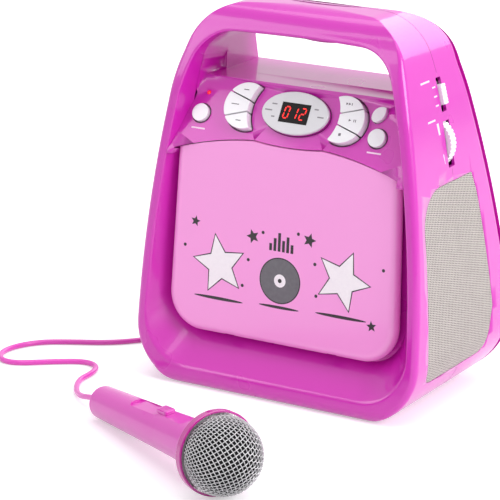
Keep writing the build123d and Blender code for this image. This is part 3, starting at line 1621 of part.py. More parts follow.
# Strap round the coil's west side
tie_thickness = 0.5
tie_width = 5.0
bundle_west = coil_x - coil_radii[1] - lead_radius - 0.3
bundle_bend = sqrt(coil_radii[-1] ** 2 - (coil_pitch / 2 + tie_width / 2) ** 2)
bundle_east = coil_x - bundle_bend + lead_radius + 0.3
tie_foot = coil_low_z - lead_radius - 0.3 - tie_thickness
tie_top = coil_high_z + lead_radius + 0.3 + tie_thickness

with BuildPart() as coil_tie:
    with BuildSketch(Plane.XZ.offset(-coil_middle_y + tie_width / 2)):
        with Locations(((bundle_west + bundle_east) / 2, (tie_foot + tie_top) / 2)):
            RectangleRounded(bundle_east - bundle_west + 2 * tie_thickness, tie_top - tie_foot, 2)
            RectangleRounded(bundle_east - bundle_west, tie_top - tie_foot - 2 * tie_thickness, 1.5,
                             mode=Mode.SUBTRACT)
    extrude(amount=-tie_width)
keep(coil_tie, "coil_tie")
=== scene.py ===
from math import atan2, cos, pi, radians, sin, sqrt, tan

import bmesh
import bpy
import numpy as np
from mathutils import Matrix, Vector
from mathutils.bvhtree import BVHTree


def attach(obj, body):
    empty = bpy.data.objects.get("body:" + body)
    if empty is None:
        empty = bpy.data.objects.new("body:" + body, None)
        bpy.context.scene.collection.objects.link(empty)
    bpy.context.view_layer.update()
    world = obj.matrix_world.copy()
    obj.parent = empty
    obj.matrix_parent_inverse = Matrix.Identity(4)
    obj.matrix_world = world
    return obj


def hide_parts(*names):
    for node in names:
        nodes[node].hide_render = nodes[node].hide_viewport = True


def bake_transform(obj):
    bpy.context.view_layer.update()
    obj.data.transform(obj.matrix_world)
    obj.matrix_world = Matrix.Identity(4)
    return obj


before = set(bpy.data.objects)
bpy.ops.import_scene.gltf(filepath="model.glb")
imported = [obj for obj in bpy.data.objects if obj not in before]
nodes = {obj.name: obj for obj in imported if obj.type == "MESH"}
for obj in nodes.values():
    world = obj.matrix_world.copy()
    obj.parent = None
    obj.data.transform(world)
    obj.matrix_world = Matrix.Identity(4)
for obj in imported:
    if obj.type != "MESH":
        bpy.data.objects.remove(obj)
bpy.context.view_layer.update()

# A portable karaoke machine in hot pink: two glossy shells that join along a seam, a carrying handle, a
# disc door in a deep front recess, a sloping key panel, a loudspeaker in each side, and a hand microphone
# on a pink lead. Metres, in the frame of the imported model: X right, Y to the back, Z up.
mm = 0.001


# ---------------------------------------------------------------- camera, floor and light
# A long lens stands off to the right of the front and looks a little down, as the photograph does.
# The floor is a seamless pale sweep, and four soft boxes light the gloss.

def look_from(azimuth, elevation):
    """Unit vector from the object towards a viewer: azimuth turns right from the front, elevation up."""
    a, e = radians(azimuth), radians(elevation)
    return Vector((sin(a) * cos(e), -cos(a) * cos(e), sin(e)))


view_azimuth, view_elevation = 31.4921, 16.8572
camera_place = Vector((866.035, -1493.101, 619.512)) * mm
focal_pixels = 2578.415
frame_pixels = 500
sensor_width = 36.0

camera_data = bpy.data.cameras.new("camera")
camera_data.sensor_width = sensor_width
camera_data.lens = focal_pixels * sensor_width / frame_pixels
camera = bpy.data.objects.new("camera", camera_data)
camera.location = camera_place
camera.rotation_euler = (-look_from(view_azimuth, view_elevation)).to_track_quat("-Z", "Y").to_euler()
bpy.context.scene.collection.objects.link(camera)
bpy.context.scene.camera = camera
bpy.context.scene.view_settings.view_transform = "Standard"


class Wire:
    """One socket of a material's tree, on which Python's operators add Math nodes."""

    def __init__(self, finish, socket):
        self.finish = finish
        self.socket = socket

    def maths(self, operation, *values):
        return self.finish.node("ShaderNodeMath", {"operation": operation}, dict(enumerate(values)))

    def __add__(self, other):
        return self.maths("ADD", self, other)

    def __sub__(self, other):
        return self.maths("SUBTRACT", self, other)

    def __rsub__(self, other):
        return self.maths("SUBTRACT", other, self)

    def __mul__(self, other):
        return self.maths("MULTIPLY", self, other)

    def __truediv__(self, other):
        return self.maths("DIVIDE", self, other)

    def __mod__(self, other):
        return self.maths("FLOORED_MODULO", self, other)

    def __abs__(self):
        return self.maths("ABSOLUTE", self)

    def __lt__(self, other):
        return self.maths("LESS_THAN", self, other)

    def __and__(self, other):
        return self.maths("MINIMUM", self, other)

    def __or__(self, other):
        return self.maths("MAXIMUM", self, other)

    __radd__ = __add__
    __rmul__ = __mul__


class Finish:
    """A material with one Principled shader, whose constant sockets are set by name as it is made."""

    def __init__(self, name, **constants):
        self.material = bpy.data.materials.new(name)
        self.material.use_nodes = True
        self.tree = self.material.node_tree
        self.shader = self.tree.nodes["Principled BSDF"]
        for socket, value in constants.items():
            self.shader.inputs[socket.replace("_", " ")].default_value = value

    def node(self, kind, settings=None, inputs=None, output=0):
        """Adds a node: its settings first, then its sockets by value or wire. Gives one output's wire."""
        made = self.tree.nodes.new(kind)
        for name, value in (settings or {}).items():
            if name == "stops":
                while len(made.color_ramp.elements) < len(value):
                    made.color_ramp.elements.new(0.5)
                for element, (place, colour) in zip(made.color_ramp.elements, value):
                    element.position = place
                    element.color = colour
            else:
                setattr(made, name, value)
        for key, value in (inputs or {}).items():
            if isinstance(value, Wire):
                self.tree.links.new(value.socket, made.inputs[key])
            else:
                made.inputs[key].default_value = value
        return Wire(self, made.outputs[output])

    def place(self):
        """The surface point in the object's own coordinates."""
        return self.node("ShaderNodeTexCoord", output="Object")

    def axes(self):
        """The three coordinates of the surface point, as numbers in metres."""
        split = self.tree.nodes.new("ShaderNodeSeparateXYZ")
        self.tree.links.new(self.place().socket, split.inputs[0])
        return [Wire(self, socket) for socket in split.outputs]

    def noise(self, scale, detail=2.0, place=None):
        """Soft noise from 0 to 1, scale cells to the metre."""
        where = place or self.place()
        return self.node("ShaderNodeTexNoise", None, {"Vector": where, "Scale": scale, "Detail": detail})

    def mix(self, factor, first, second):
        """Colour between first and second."""
        return self.node("ShaderNodeMix", {"data_type": "RGBA"}, {0: factor, 6: first, 7: second}, 2)

    def bump(self, height, distance, strength=1.0):
        """Feeds a height from 0 to 1, distance metres tall, to the shader's normal."""
        sockets = {"Height": height, "Distance": distance, "Strength": strength}
        self.feed("Normal", self.node("ShaderNodeBump", None, sockets))

    def feed(self, socket, wire):
        self.tree.links.new(wire.socket, self.shader.inputs[socket])


def rgb(red, green, blue):
    """A colour as a painter's 0 to 255 values, made linear with an alpha of 1."""
    parts = [c / 255 for c in (red, green, blue)]
    return tuple(c / 12.92 if c <= 0.04045 else ((c + 0.055) / 1.055) ** 2.4 for c in parts) + (1.0,)


def wear(*objects, finish):
    """Gives every object this finish as its only material."""
    for piece in objects:
        piece.data.materials.clear()
        piece.data.materials.append(finish.material)


def surface(name, points, faces, smooth=True):
    """A mesh object from an array of points in metres and a list or array of faces."""
    mesh = bpy.data.meshes.new(name)
    faces = faces.tolist() if isinstance(faces, np.ndarray) else faces
    mesh.from_pydata(np.asarray(points).tolist(), [], faces)
    mesh.shade_smooth() if smooth else mesh.shade_flat()
    made = bpy.data.objects.new(name, mesh)
    bpy.context.scene.collection.objects.link(made)
    return made


def sweep_light(name, place, target, width, height, watts, tint=(1, 1, 1)):
    """A soft box that faces its target."""
    lamp = bpy.data.lights.new(name, "AREA")
    lamp.shape = "RECTANGLE"
    lamp.size, lamp.size_y = width, height
    lamp.energy = watts
    lamp.color = tint
    made = bpy.data.objects.new(name, lamp)
    made.location = place
    made.rotation_euler = (Vector(target) - Vector(place)).to_track_quat("-Z", "Y").to_euler()
    bpy.context.scene.collection.objects.link(made)


aim = Vector((0, 0, 0.12))
sweep_light("soft_box_right", (2.3, -0.2, 1.3), aim, 1.6, 1.6, 46)
sweep_light("soft_box_left", (-1.7, -1.7, 1.2), aim, 1.2, 1.4, 13)
sweep_light("soft_box_top", (0.1, 0.1, 2.4), aim, 2.4, 2.4, 34)
sweep_light("soft_box_back", (0.3, 2.2, 1.4), aim, 2.0, 1.6, 22)

world = bpy.data.worlds.new("studio")
bpy.context.scene.world = world
world.use_nodes = True
sky = world.node_tree.nodes["Background"]
rays = world.node_tree.nodes.new("ShaderNodeLightPath")
level = world.node_tree.nodes.new("ShaderNodeMapRange")
studio_level, white_level = 0.42, 1.0
level.inputs["To Min"].default_value = studio_level
level.inputs["To Max"].default_value = white_level
shown = rays.outputs["Is Camera Ray"]
for kind in ("Is Glossy Ray", "Is Transmission Ray"):
    either = world.node_tree.nodes.new("ShaderNodeMath")
    either.operation = "MAXIMUM"
    world.node_tree.links.new(shown, either.inputs[0])
    world.node_tree.links.new(rays.outputs[kind], either.inputs[1])
    shown = either.outputs[0]
world.node_tree.links.new(shown, level.inputs["Value"])
world.node_tree.links.new(level.outputs[0], sky.inputs["Strength"])
sky.inputs["Color"].default_value = (1, 1, 1, 1)

floor_half = 9.0
floor_lift = 0.42
floor_corners = floor_half * np.array([(-1, -1, 0), (1, -1, 0), (1, 1, 0), (-1, 1, 0)])
floor = surface("floor", floor_corners, [(0, 1, 2, 3)])
floor_paint = Finish("pale_floor", Base_Color=rgb(232, 231, 233), Roughness=0.9, Specular_IOR_Level=0.0,
                     Emission_Color=(1, 1, 1, 1))
seen = floor_paint.node("ShaderNodeLightPath", output="Is Camera Ray")
mirrored = floor_paint.node("ShaderNodeLightPath", output="Is Glossy Ray")
floor_paint.feed("Emission Strength", (seen | mirrored) * floor_lift)
wear(floor, finish=floor_paint)


# ---------------------------------------------------------------- microphone lead
# One glossy pink sheath, 4 mm thick and 1.66 m long. It leaves the microphone's tail, bends out to the left
# and round behind the machine, where the spare length lies in a flat two-layer coil, and ends in its plug.

lead_diameter = 4.0
mic_stretch = [
    (-88, -134.1, 10.3), (-96.5, -129.5, 9.2), (-112.5, -121, 4.1), (-126, -107.5, 2.1),
    (-136.5, -89, 2.1), (-136, -72.5, 2.1), (-141.5, -58, 2.1), (-155.5, -54.5, 2.1),
    (-174, -66.5, 2.1), (-195.5, -84, 2.1), (-209.5, -83.5, 2.1), (-218.5, -72, 2.1),
    (-219, -55, 2.1), (-208, -35.5, 2.1), (-186, -22.5, 2.1), (-166, -12.5, 2.1),
    (-148, 4, 2.1), (-131, 30, 2.1), (-124, 58, 2.1), (-109, 86, 2.1), (-84, 103, 2.1),
    (-56, 105, 2.1), (-30, 97, 2.2), (-11, 94.2, 2.9), (8, 94.2, 2.9),
]
plug_stretch = [
    (-62, 114.1, 138.6), (-62, 130, 142.1), (-62.3, 143, 131), (-62.3, 147, 112), (-62.5, 148, 85),
    (-62, 147.5, 58), (-61, 148.5, 34), (-58, 153, 14), (-48, 158, 4), (-30, 157, 2.2),
    (-16, 153.8, 5), (-4, 151.8, 7.5), (8, 151.8, 7.5),
]
coil_x, coil_north, coil_low, coil_high = 12.0, 151.8, 2.9, 7.5
coil_radii = [28.8 - 2.3 * k for k in range(6)]
climb_radius = 15.0
half_turn_points = 8


def half_turns(start_y, side, radii, heights):
    """Control points of half circles that meet at x = coil_x. Each stands outside its arc by 1 / cos of half
    a step, so that the spline between them touches the circle. Gives the points, the end and the side."""
    steps = (np.arange(half_turn_points) + 0.5) / half_turn_points
    turns = []
    for radius, (first, last) in zip(radii, heights):
        reach = radius / cos(pi / 2 / half_turn_points)
        turns.append(np.stack([
            coil_x + side * reach * np.sin(pi * steps),
            start_y - side * radius + side * reach * np.cos(pi * steps),
            first + (last - first) * steps,
        ], axis=1))
        start_y -= 2 * side * radius
        side = -side
    return np.concatenate(turns), start_y, side


upper, turn_y, turn_side = half_turns(coil_north, 1, coil_radii, [(coil_high, coil_high)] * 6)
climb, turn_y, turn_side = half_turns(turn_y, turn_side, [climb_radius], [(coil_high, coil_low)])
lower, turn_y, turn_side = half_turns(turn_y, turn_side, coil_radii[::-1], [(coil_low, coil_low)] * 6)
coil = np.concatenate([upper, climb, lower])
route = np.concatenate([mic_stretch, coil[::-1], plug_stretch[::-1]]) * mm


def spline_points(name, controls):
    """Points along the smooth quadratic spline through these controls, ends clamped."""
    data = bpy.data.curves.new(name, "CURVE")
    data.dimensions = "3D"
    data.resolution_u = 6
    line = data.splines.new("NURBS")
    line.points.add(len(controls) - 1)
    line.points.foreach_set("co", np.c_[controls, np.ones(len(controls))].ravel())
    line.order_u = 3
    line.use_endpoint_u = True
    guide = bpy.data.objects.new(name, data)
    mesh = bpy.data.meshes.new_from_object(guide)
    points = np.array([v.co for v in mesh.vertices])
    bpy.data.objects.remove(guide)
    bpy.data.meshes.remove(mesh)
    bpy.data.curves.remove(data)
    return points


def tube(name, path, radius, sides=12):
    """A round tube along a path: each ring stands square to the path, turned as little as possible from the
    one before, and the ends are closed with flat faces."""
    along = np.gradient(path, axis=0)
    along /= np.linalg.norm(along, axis=1)[:, None]
    side = np.cross(along[0], [0, 0, 1.0])
    angles = 2 * pi * np.arange(sides) / sides
    rings = []
    for centre, forward in zip(path, along):
        side = side - forward * (side @ forward)
        side = side / np.linalg.norm(side)
        up = np.cross(side, forward)
        rings.append(centre + radius * (np.cos(angles)[:, None] * side + np.sin(angles)[:, None] * up))
    rows = len(path)
    row, column = np.meshgrid(np.arange(rows - 1), np.arange(sides), indexing="ij")
    corner = row * sides + column
    beside = row * sides + (column + 1) % sides
    quads = np.stack([corner, beside, beside + sides, corner + sides], axis=-1).reshape(-1, 4)
    faces = quads.tolist() + [list(range(sides))[::-1], list(range((rows - 1) * sides, rows * sides))]
    mesh = bpy.data.meshes.new(name)
    mesh.from_pydata(np.concatenate(rings).tolist(), [], faces)
    mesh.shade_smooth()
    made = bpy.data.objects.new(name, mesh)
    bpy.context.scene.collection.objects.link(made)
    return made


lead_path = spline_points("lead_route", route)
lead = tube("lead", lead_path, lead_diameter / 2 * mm)
lead_sheath = Finish("lead_sheath", Base_Color=rgb(222, 62, 184), Coat_Weight=0.4, Coat_Roughness=0.12)
lead_sheath.feed("Roughness", lead_sheath.noise(60) * 0.14 + 0.24)
lead_sheath.bump(lead_sheath.noise(900), 0.00006)
wear(lead, finish=lead_sheath)
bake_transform(lead)
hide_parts("mic_cord", "cord_coil", "plug_cord")


# ---------------------------------------------------------------- the two shells
# Injection-moulded plastic in a deep glossy pink. The rim turns softly out of the side wall, runs as a band
# round the front, and breaks over a crest into the slopes that lead in to the door. The back is rounded
# into the side wall the same way.

def tangent_arc(start, heading, end, count):
    """Points on the arc that leaves start along heading, a unit vector, and reaches end, without its last
    point, and the heading there. The chord of a part of the arc grows as the sine of half its turn."""
    chord = np.subtract(end, start)
    across = np.array([-heading[1], heading[0]])
    half = atan2(chord @ across, chord @ heading)
    turned = half * np.arange(count) / count
    reach = np.hypot(*chord) * np.sin(turned) / sin(half)
    points = start + reach[:, None] * (np.cos(turned)[:, None] * heading + np.sin(turned)[:, None] * across)
    return points, cos(2 * half) * np.asarray(heading) + sin(2 * half) * across


def arc_through(start, middle, end, count):
    """Points on the circle through three points, and its heading at the end. The tangent at the start is the
    first chord turned back by the angle that the second chord takes in."""
    first, second = np.subtract(middle, start), np.subtract(end, middle)
    bend = atan2(first[0] * second[1] - first[1] * second[0], first @ second)
    span = atan2(np.hypot(*first) * sin(bend), np.hypot(*second) + np.hypot(*first) * cos(bend))
    direction = atan2(first[1], first[0]) - span
    return tangent_arc(start, np.array([cos(direction), sin(direction)]), end, count)


def arch(half_foot, foot, corner, waist, hip, shoulder, brow, crown):
    """Closed loop of points seen from the front, x and z: flat foot, round corner, side, shoulder, brow and
    crown, then their mirror image. Every arch has as many points on each stretch, so arches can be joined."""
    flat = np.array([0.0, foot]) + np.linspace(0, 1, 14, endpoint=False)[:, None] * [half_foot - corner, 0]
    level = np.array([1.0, 0.0])
    round_foot, _ = tangent_arc((half_foot - corner, foot), level, (half_foot, foot + corner), 26)
    side, heading = arc_through((half_foot, foot + corner), waist, hip, 36)
    upper, heading = tangent_arc(hip, heading, shoulder, 18)
    bow, heading = tangent_arc(shoulder, heading, brow, 26)
    over = (brow[0] / 2, crown - (crown - brow[1]) / 4)
    top, _ = arc_through(brow, over, (0.0, crown), 24)
    right = np.concatenate([flat, round_foot, side, upper, bow, top, [[0.0, crown]]])
    return np.concatenate([right, right[-2:0:-1] * [-1, 1]])


outer_arch = arch(112.5, 0, 42, (107.1, 124.5), (94.2, 207), (83.9, 242.5), (50.0, 268.6), 270)
mouth_arch = arch(105, 14, 36, (99.6, 124.5), (86.7, 204), (78.0, 232), (48.0, 253.1), 254.5)
inner_arch = arch(92, 36, 26, (91.4, 112.5), (83, 199), (77.0, 228), (50.0, 249.5), 250.5)
rim_lean, floor_lean = tan(radians(5.5)), tan(radians(4.5))
rim_foot, floor_foot = -56.0, -34.0
seam_y = 17.0
front_radius, back_radius, crest_round = 4.5, 6.0, 2.2

front_profile = np.concatenate([
    arc_through((-47, 0), (-53.364, 2.636), (-55.2, 9), 24)[0], [(-55.2, 9)],
    arc_through((-34.935, 198), (-28.435, 232), (-17, 257), 20)[0],
    arc_through((-17, 257), (-10, 266), (2, 270), 40)[0], [(2, 270)],
])
back_profile = np.concatenate([
    arc_through((56, 0), (77, 10), (87, 34), 24)[0],
    arc_through((87, 34), (88, 52), (86, 80), 16)[0], [(86, 80)],
    arc_through((52.577, 232), (42, 258), (20, 269.2), 40)[0], [(20, 269.2), (12, 270)],
])


def round_over(z, radius):
    """The rounding's radius at height z: full on the sides, fading out under the foot and over the top."""
    return np.clip(radius * np.minimum((z - 1) / 8, (262 - z) / 27), 0.3, radius)


def inset(loop, distance):
    """The loop moved inwards, along its own normals."""
    along = np.roll(loop, -1, axis=0) - np.roll(loop, 1, axis=0)
    outward = np.stack([along[:, 1], -along[:, 0]], axis=1) / np.linalg.norm(along, axis=1)[:, None]
    return loop - outward * distance[:, None]


def at_depth(flat, y):
    """Points of x, y and z from points of x and z."""
    return np.stack([flat[:, 0], np.broadcast_to(y, len(flat)), flat[:, 1]], axis=1)


def depth_at(profile, z):
    """Y of a side profile at height z."""
    return np.interp(z, profile[:, 1], profile[:, 0])


def rounded_edge(profile, radius, direction, count=9):
    """Rows of points from the side wall to the face that profile gives: a cubic curve whose handles reach
    0.5523 of the way to the sharp corner, as for a quarter circle. direction is -1 in front, 1 behind."""
    reach = round_over(outer_arch[:, 1], radius)
    corner = at_depth(outer_arch, depth_at(profile, outer_arch[:, 1]))
    on_wall = corner - direction * reach[:, None] * [0, 1, 0]
    flat = inset(outer_arch, reach)
    on_face = at_depth(flat, depth_at(profile, flat[:, 1]))
    t = np.linspace(0, 1, count)[:, None, None]
    wall_handle = on_wall + 0.5523 * (corner - on_wall)
    face_handle = on_face + 0.5523 * (corner - on_face)
    curve = ((1 - t) ** 3 * on_wall + 3 * (1 - t) ** 2 * t * wall_handle + 3 * (1 - t) * t ** 2 * face_handle
             + t ** 3 * on_face)
    return np.concatenate([(on_wall - direction * np.array([0, 1.0, 0]))[None], curve])


def front_rows():
    """Rows of the front skin: the rounded edge, the band on the front profile, the crest, found by halving
    the ruled line from mouth to inner arch until it meets the front, and the slope down to the floor."""
    mouth = at_depth(mouth_arch, rim_foot + mouth_arch[:, 1] * rim_lean)
    inner = at_depth(inner_arch, floor_foot + inner_arch[:, 1] * floor_lean)
    low, high = np.zeros(len(mouth)), np.ones(len(mouth))
    for _ in range(30):
        middle = (low + high) / 2
        point = mouth + middle[:, None] * (inner - mouth)
        ahead = point[:, 1] < depth_at(front_profile, point[:, 2])
        low, high = np.where(ahead, middle, low), np.where(ahead, high, middle)
    crest = mouth + low[:, None] * (inner - mouth)
    edge = rounded_edge(front_profile, front_radius, -1)
    start, end = edge[-1][:, [0, 2]], crest[:, [0, 2]]
    span = np.linalg.norm(end - start, axis=1)
    crest_radius = np.minimum(crest_round, 0.3 * span)
    stop = 1 - crest_radius / span
    flats = [start + (stop * t ** 1.6)[:, None] * (end - start) for t in np.linspace(0, 1, 13)[1:]]
    band = np.stack([at_depth(flat, depth_at(front_profile, flat[:, 1])) for flat in flats])
    down = (inner - crest) / np.linalg.norm(inner - crest, axis=1)[:, None]
    t = np.linspace(0, 1, 8)[1:, None, None]
    landing = crest + crest_radius[:, None] * down
    turn = (1 - t) ** 2 * band[-1] + 2 * (1 - t) * t * crest + t ** 2 * landing
    slope = landing + np.linspace(0, 1, 7)[1:, None, None] * (inner - landing)
    return np.concatenate([edge, band, turn, slope])


def grid_faces(rows, columns, wrap=True, flip=False):
    """Quads of a grid of points, row after row, whose last column joins the first if it wraps."""
    row, column = np.meshgrid(np.arange(rows - 1), np.arange(columns - (not wrap)), indexing="ij")
    here, beside = row * columns + column, row * columns + (column + 1) % columns
    quads = np.stack([here, beside, beside + columns, here + columns], axis=-1).reshape(-1, 4)
    return quads[:, ::-1] if flip else quads


def merged_copy(node):
    """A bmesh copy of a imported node, its loose triangles joined at their corners."""
    work = bmesh.new()
    work.from_mesh(nodes[node].data)
    bmesh.ops.remove_doubles(work, verts=work.verts, dist=0.002 * mm)
    return work


def trim(work, faces, line, keep):
    """Cuts these faces by planes, then drops those of them whose middle keep() turns down, and gives the
    rest. line is a list of pairs: a point of the plane and its normal."""
    for place, normal in line:
        parts = {v for f in faces for v in f.verts} | {e for f in faces for e in f.edges} | set(faces)
        cut = bmesh.ops.bisect_plane(work, geom=list(parts), dist=1e-7, plane_co=place, plane_no=normal)
        faces = [g for g in cut["geom"] if isinstance(g, bmesh.types.BMFace)]
    dropped = [f for f in faces if not keep(f.calc_center_median() / mm)]
    kept = set(faces) - set(dropped)
    bmesh.ops.delete(work, geom=dropped, context="FACES")
    return kept


def wall_faces(work):
    """The faces of the outer side wall: square to Y, no more than 0.5 mm off the outer arch."""
    centres = np.array([f.calc_center_median()[:] for f in work.faces]) / mm
    normals = np.array([f.normal[:] for f in work.faces])
    radius = np.hypot(centres[:, 0], centres[:, 2] - 130)
    angle = np.arctan2(centres[:, 2] - 130, centres[:, 0])
    loop_angle = np.arctan2(outer_arch[:, 1] - 130, outer_arch[:, 0])
    order = np.argsort(loop_angle)
    loop_radius = np.hypot(outer_arch[:, 0], outer_arch[:, 1] - 130)[order]
    edge = np.interp(angle, loop_angle[order], loop_radius, period=2 * pi)
    outward = normals[:, 0] * np.cos(angle) + normals[:, 2] * np.sin(angle)
    mask = (np.abs(radius - edge) < 0.7) & (np.abs(normals[:, 1]) < 0.2) & (outward > 0.2)
    return [f for f, on in zip(list(work.faces), mask) if on]


def wall_line(profile, radius, direction):
    """Where the side wall stops for the rounding: the profile moved in by its radius and 1 mm, as pairs of a
    point and a normal in metres, and the test that tells what lies behind it."""
    edge_y = profile[:, 0] - direction * (round_over(profile[:, 1], radius) + 1)
    steps = [(0.0, y * mm, z * mm) for y, z in zip(edge_y, profile[:, 1])]
    pairs = [(a, (0.0, b[2] - a[2], a[1] - b[1])) for a, b in zip(steps, steps[1:])]
    return pairs, lambda centre: direction * (np.interp(centre.z, profile[:, 1], edge_y) - centre.y) > 0


def join_skin(work, rows, flip):
    """Adds a skin's grid to the copied shell."""
    count, columns = rows.shape[:2]
    verts = [work.verts.new(p) for p in (rows.reshape(-1, 3) * mm).tolist()]
    for quad in grid_faces(count, columns, flip=flip).tolist():
        work.faces.new([verts[k] for k in quad])


def shell_piece(name, work, replaced, smooth_angle=28):
    """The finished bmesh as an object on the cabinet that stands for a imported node. Edges that turn by more
    than smooth_angle degrees stay sharp."""
    mesh = bpy.data.meshes.new(name)
    work.to_mesh(mesh)
    work.free()
    mesh.shade_smooth()
    mesh.set_sharp_from_angle(angle=radians(smooth_angle))
    made = bpy.data.objects.new(name, mesh)
    bpy.context.scene.collection.objects.link(made)
    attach(made, "cabinet")
    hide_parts(replaced)
    return made


front_work = merged_copy("front_shell")
kept_wall = trim(front_work, wall_faces(front_work), *wall_line(front_profile, front_radius, -1))
front_skin = front_rows()
skin_tree = BVHTree.FromPolygons((front_skin.reshape(-1, 3) * mm).tolist(),
                                 grid_faces(*front_skin.shape[:2]).tolist())
covered = []
for face in front_work.faces:
    normal = skin_tree.find_nearest(face.calc_center_median(), 1.6 * mm)[1]
    if normal is not None and normal.dot(face.normal) > 0.5 and face not in kept_wall:
        covered.append(face)
bmesh.ops.delete(front_work, geom=covered, context="FACES")
join_skin(front_work, front_skin, flip=False)
front_casing = shell_piece("front_casing", front_work, "front_shell")

rear_work = merged_copy("rear_shell")
trim(rear_work, wall_faces(rear_work), *wall_line(back_profile, back_radius, 1))
join_skin(rear_work, rounded_edge(back_profile, back_radius, 1), flip=True)
rear_casing = shell_piece("rear_casing", rear_work, "rear_shell")

shell_plastic = Finish("shell_plastic", Base_Color=rgb(206, 26, 178), Coat_Weight=0.7, Coat_Roughness=0.05)
shell_plastic.feed("Roughness", shell_plastic.noise(30) * 0.1 + 0.24)
wear(front_casing, rear_casing, finish=shell_plastic)


# ---------------------------------------------------------------- key panel
# A sloping panel above the door, its face turned 31 degrees up from the front. White glossy keys stand in
# gaps darkened by painted shade round a light grey oval cover, and the digits glow red in its window.

panel_turn = radians(31)
panel_middle = np.array([0, -33.864, 172.0])
panel_up = np.array([0, sin(panel_turn), cos(panel_turn)])
panel_out = np.array([0, -cos(panel_turn), sin(panel_turn)])


def on_panel(x, s, n=0.0):
    """Points in metres from x across the panel, s up its slope and n out of it, in millimetres."""
    x, s, n = np.broadcast_arrays(np.asarray(x, float), s, n)
    across = x[..., None] * [1.0, 0, 0]
    return (panel_middle + across + s[..., None] * panel_up + n[..., None] * panel_out) * mm


def ride_as(made, body, finish, slot):
    """Dresses a new piece and lets it ride on its body. Its slot is not used."""
    wear(made, finish=finish)
    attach(made, body)
    return made


def prints(name, outlines, place, body, finish, slot, thick=0.12):
    """Flat prints as thin plates, their tops facing out: each outline runs anticlockwise, and place() puts
    its two coordinates and a height on the face."""
    points, faces = [], []
    for outline in outlines:
        outline = np.asarray(outline, float)
        count, first = len(outline), sum(len(p) for p in points)
        points.append(np.concatenate([place(outline[:, 0], outline[:, 1], n) for n in (0.0, thick)]))
        ring = np.arange(count)
        after = (ring + 1) % count
        faces.append((first + count + ring).tolist())
        faces.append((first + ring[::-1]).tolist())
        faces += (first + np.stack([ring, after, after + count, ring + count], axis=1)).tolist()
    return ride_as(surface(name, np.concatenate(points), faces, smooth=False), body, finish, slot)


def oval(x, y, half_x, half_y, count=28):
    """Points round an ellipse."""
    a = 2 * pi * np.arange(count) / count
    return np.stack([x + half_x * np.cos(a), y + half_y * np.sin(a)], axis=1)


def bar(x, y, half_x, half_y, lean=0.0):
    """A small upright or lying bar, which lean shears sideways."""
    corners = np.array([(-1, -1), (1, -1), (1, 1), (-1, 1)]) * [half_x, half_y]
    return corners + [x, y] + lean * corners[:, 1:] * [1, 0]


display_x, display_s, visor_n, cover_n = 0.5, 30.0, 3.6, 4.1
key_white = Finish("key_white", Base_Color=rgb(240, 239, 243), Coat_Weight=0.5, Coat_Roughness=0.05)
key_white.feed("Roughness", key_white.noise(120) * 0.08 + 0.16)
keys = ["eject_key", "mode_key", "program_key", "skip_back_key", "play_key", "stop_key",
        "power_key", "memory_key", "intro_key"]
wear(*[nodes[name] for name in keys], finish=key_white)

cover_plastic = Finish("cover_plastic", Coat_Weight=0.6, Coat_Roughness=0.04, Roughness=0.3)
cover_plastic.feed("Base Color", cover_plastic.mix(
    cover_plastic.noise(40), rgb(206, 206, 210), rgb(222, 221, 225)))
wear(nodes["display_cover"], finish=cover_plastic)

window_black = Finish("window_black", Base_Color=rgb(10, 6, 8), Specular_IOR_Level=0.2)
window_black.feed("Roughness", window_black.noise(200) * 0.1 + 0.4)
prints("display_window", [bar(display_x, display_s - 0.3, 11.2, 7.2)],
       lambda x, s, n: on_panel(x, s, cover_n - 0.02 + n), "cabinet", window_black, "display_cover", 0.14)

# Seven segments to a digit, lit where the number 012 has them, and slanted as such modules are
digit_segments = {"0": "abcdef", "1": "bc", "2": "abged"}
digit_half, digit_lean = (1.75, 4.1), 0.12
segment_bars = {
    "a": (0, 1, 1), "b": (1, 0.5, 0), "c": (1, -0.5, 0), "d": (0, -1, 1), "e": (-1, -0.5, 0),
    "f": (-1, 0.5, 0), "g": (0, 0, 1),
}


def segment(x, s, lying):
    """One segment: a bar with pointed ends, lying or upright."""
    long, thick = (digit_half[0] - 0.35, 0.42) if lying else (digit_half[1] / 2 - 0.35, 0.42)
    ends = np.array([(-long, 0), (-long + thick, -thick), (long - thick, -thick), (long, 0),
                     (long - thick, thick), (-long + thick, thick)])
    ends = ends if lying else ends[:, ::-1] * [-1, 1]
    return ends + [x, s]


def digit(text, x, s):
    """The lit segments of one digit, sheared to its slant."""
    lit = [segment(digit_half[0] * sx, digit_half[1] * sy, lying)
           for key, (sx, sy, lying) in segment_bars.items() if key in digit_segments[text]]
    return [part + [x, s] + digit_lean * part[:, 1:] * [1, 0] for part in lit]


digit_red = Finish("digit_red", Base_Color=rgb(150, 6, 10), Emission_Strength=1.6, Roughness=0.4)
glow = digit_red.mix(digit_red.noise(400), rgb(255, 20, 22), rgb(255, 44, 30))
digit_red.feed("Emission Color", glow)
lit_parts = sum([digit(text, display_x + 6.3 * (k - 1), display_s - 0.3) for k, text in enumerate("012")], [])
prints("display_digits", lit_parts, lambda x, s, n: on_panel(x, s, cover_n + 0.12 + n), "cabinet", digit_red,
       "lamp_red", 0.06)

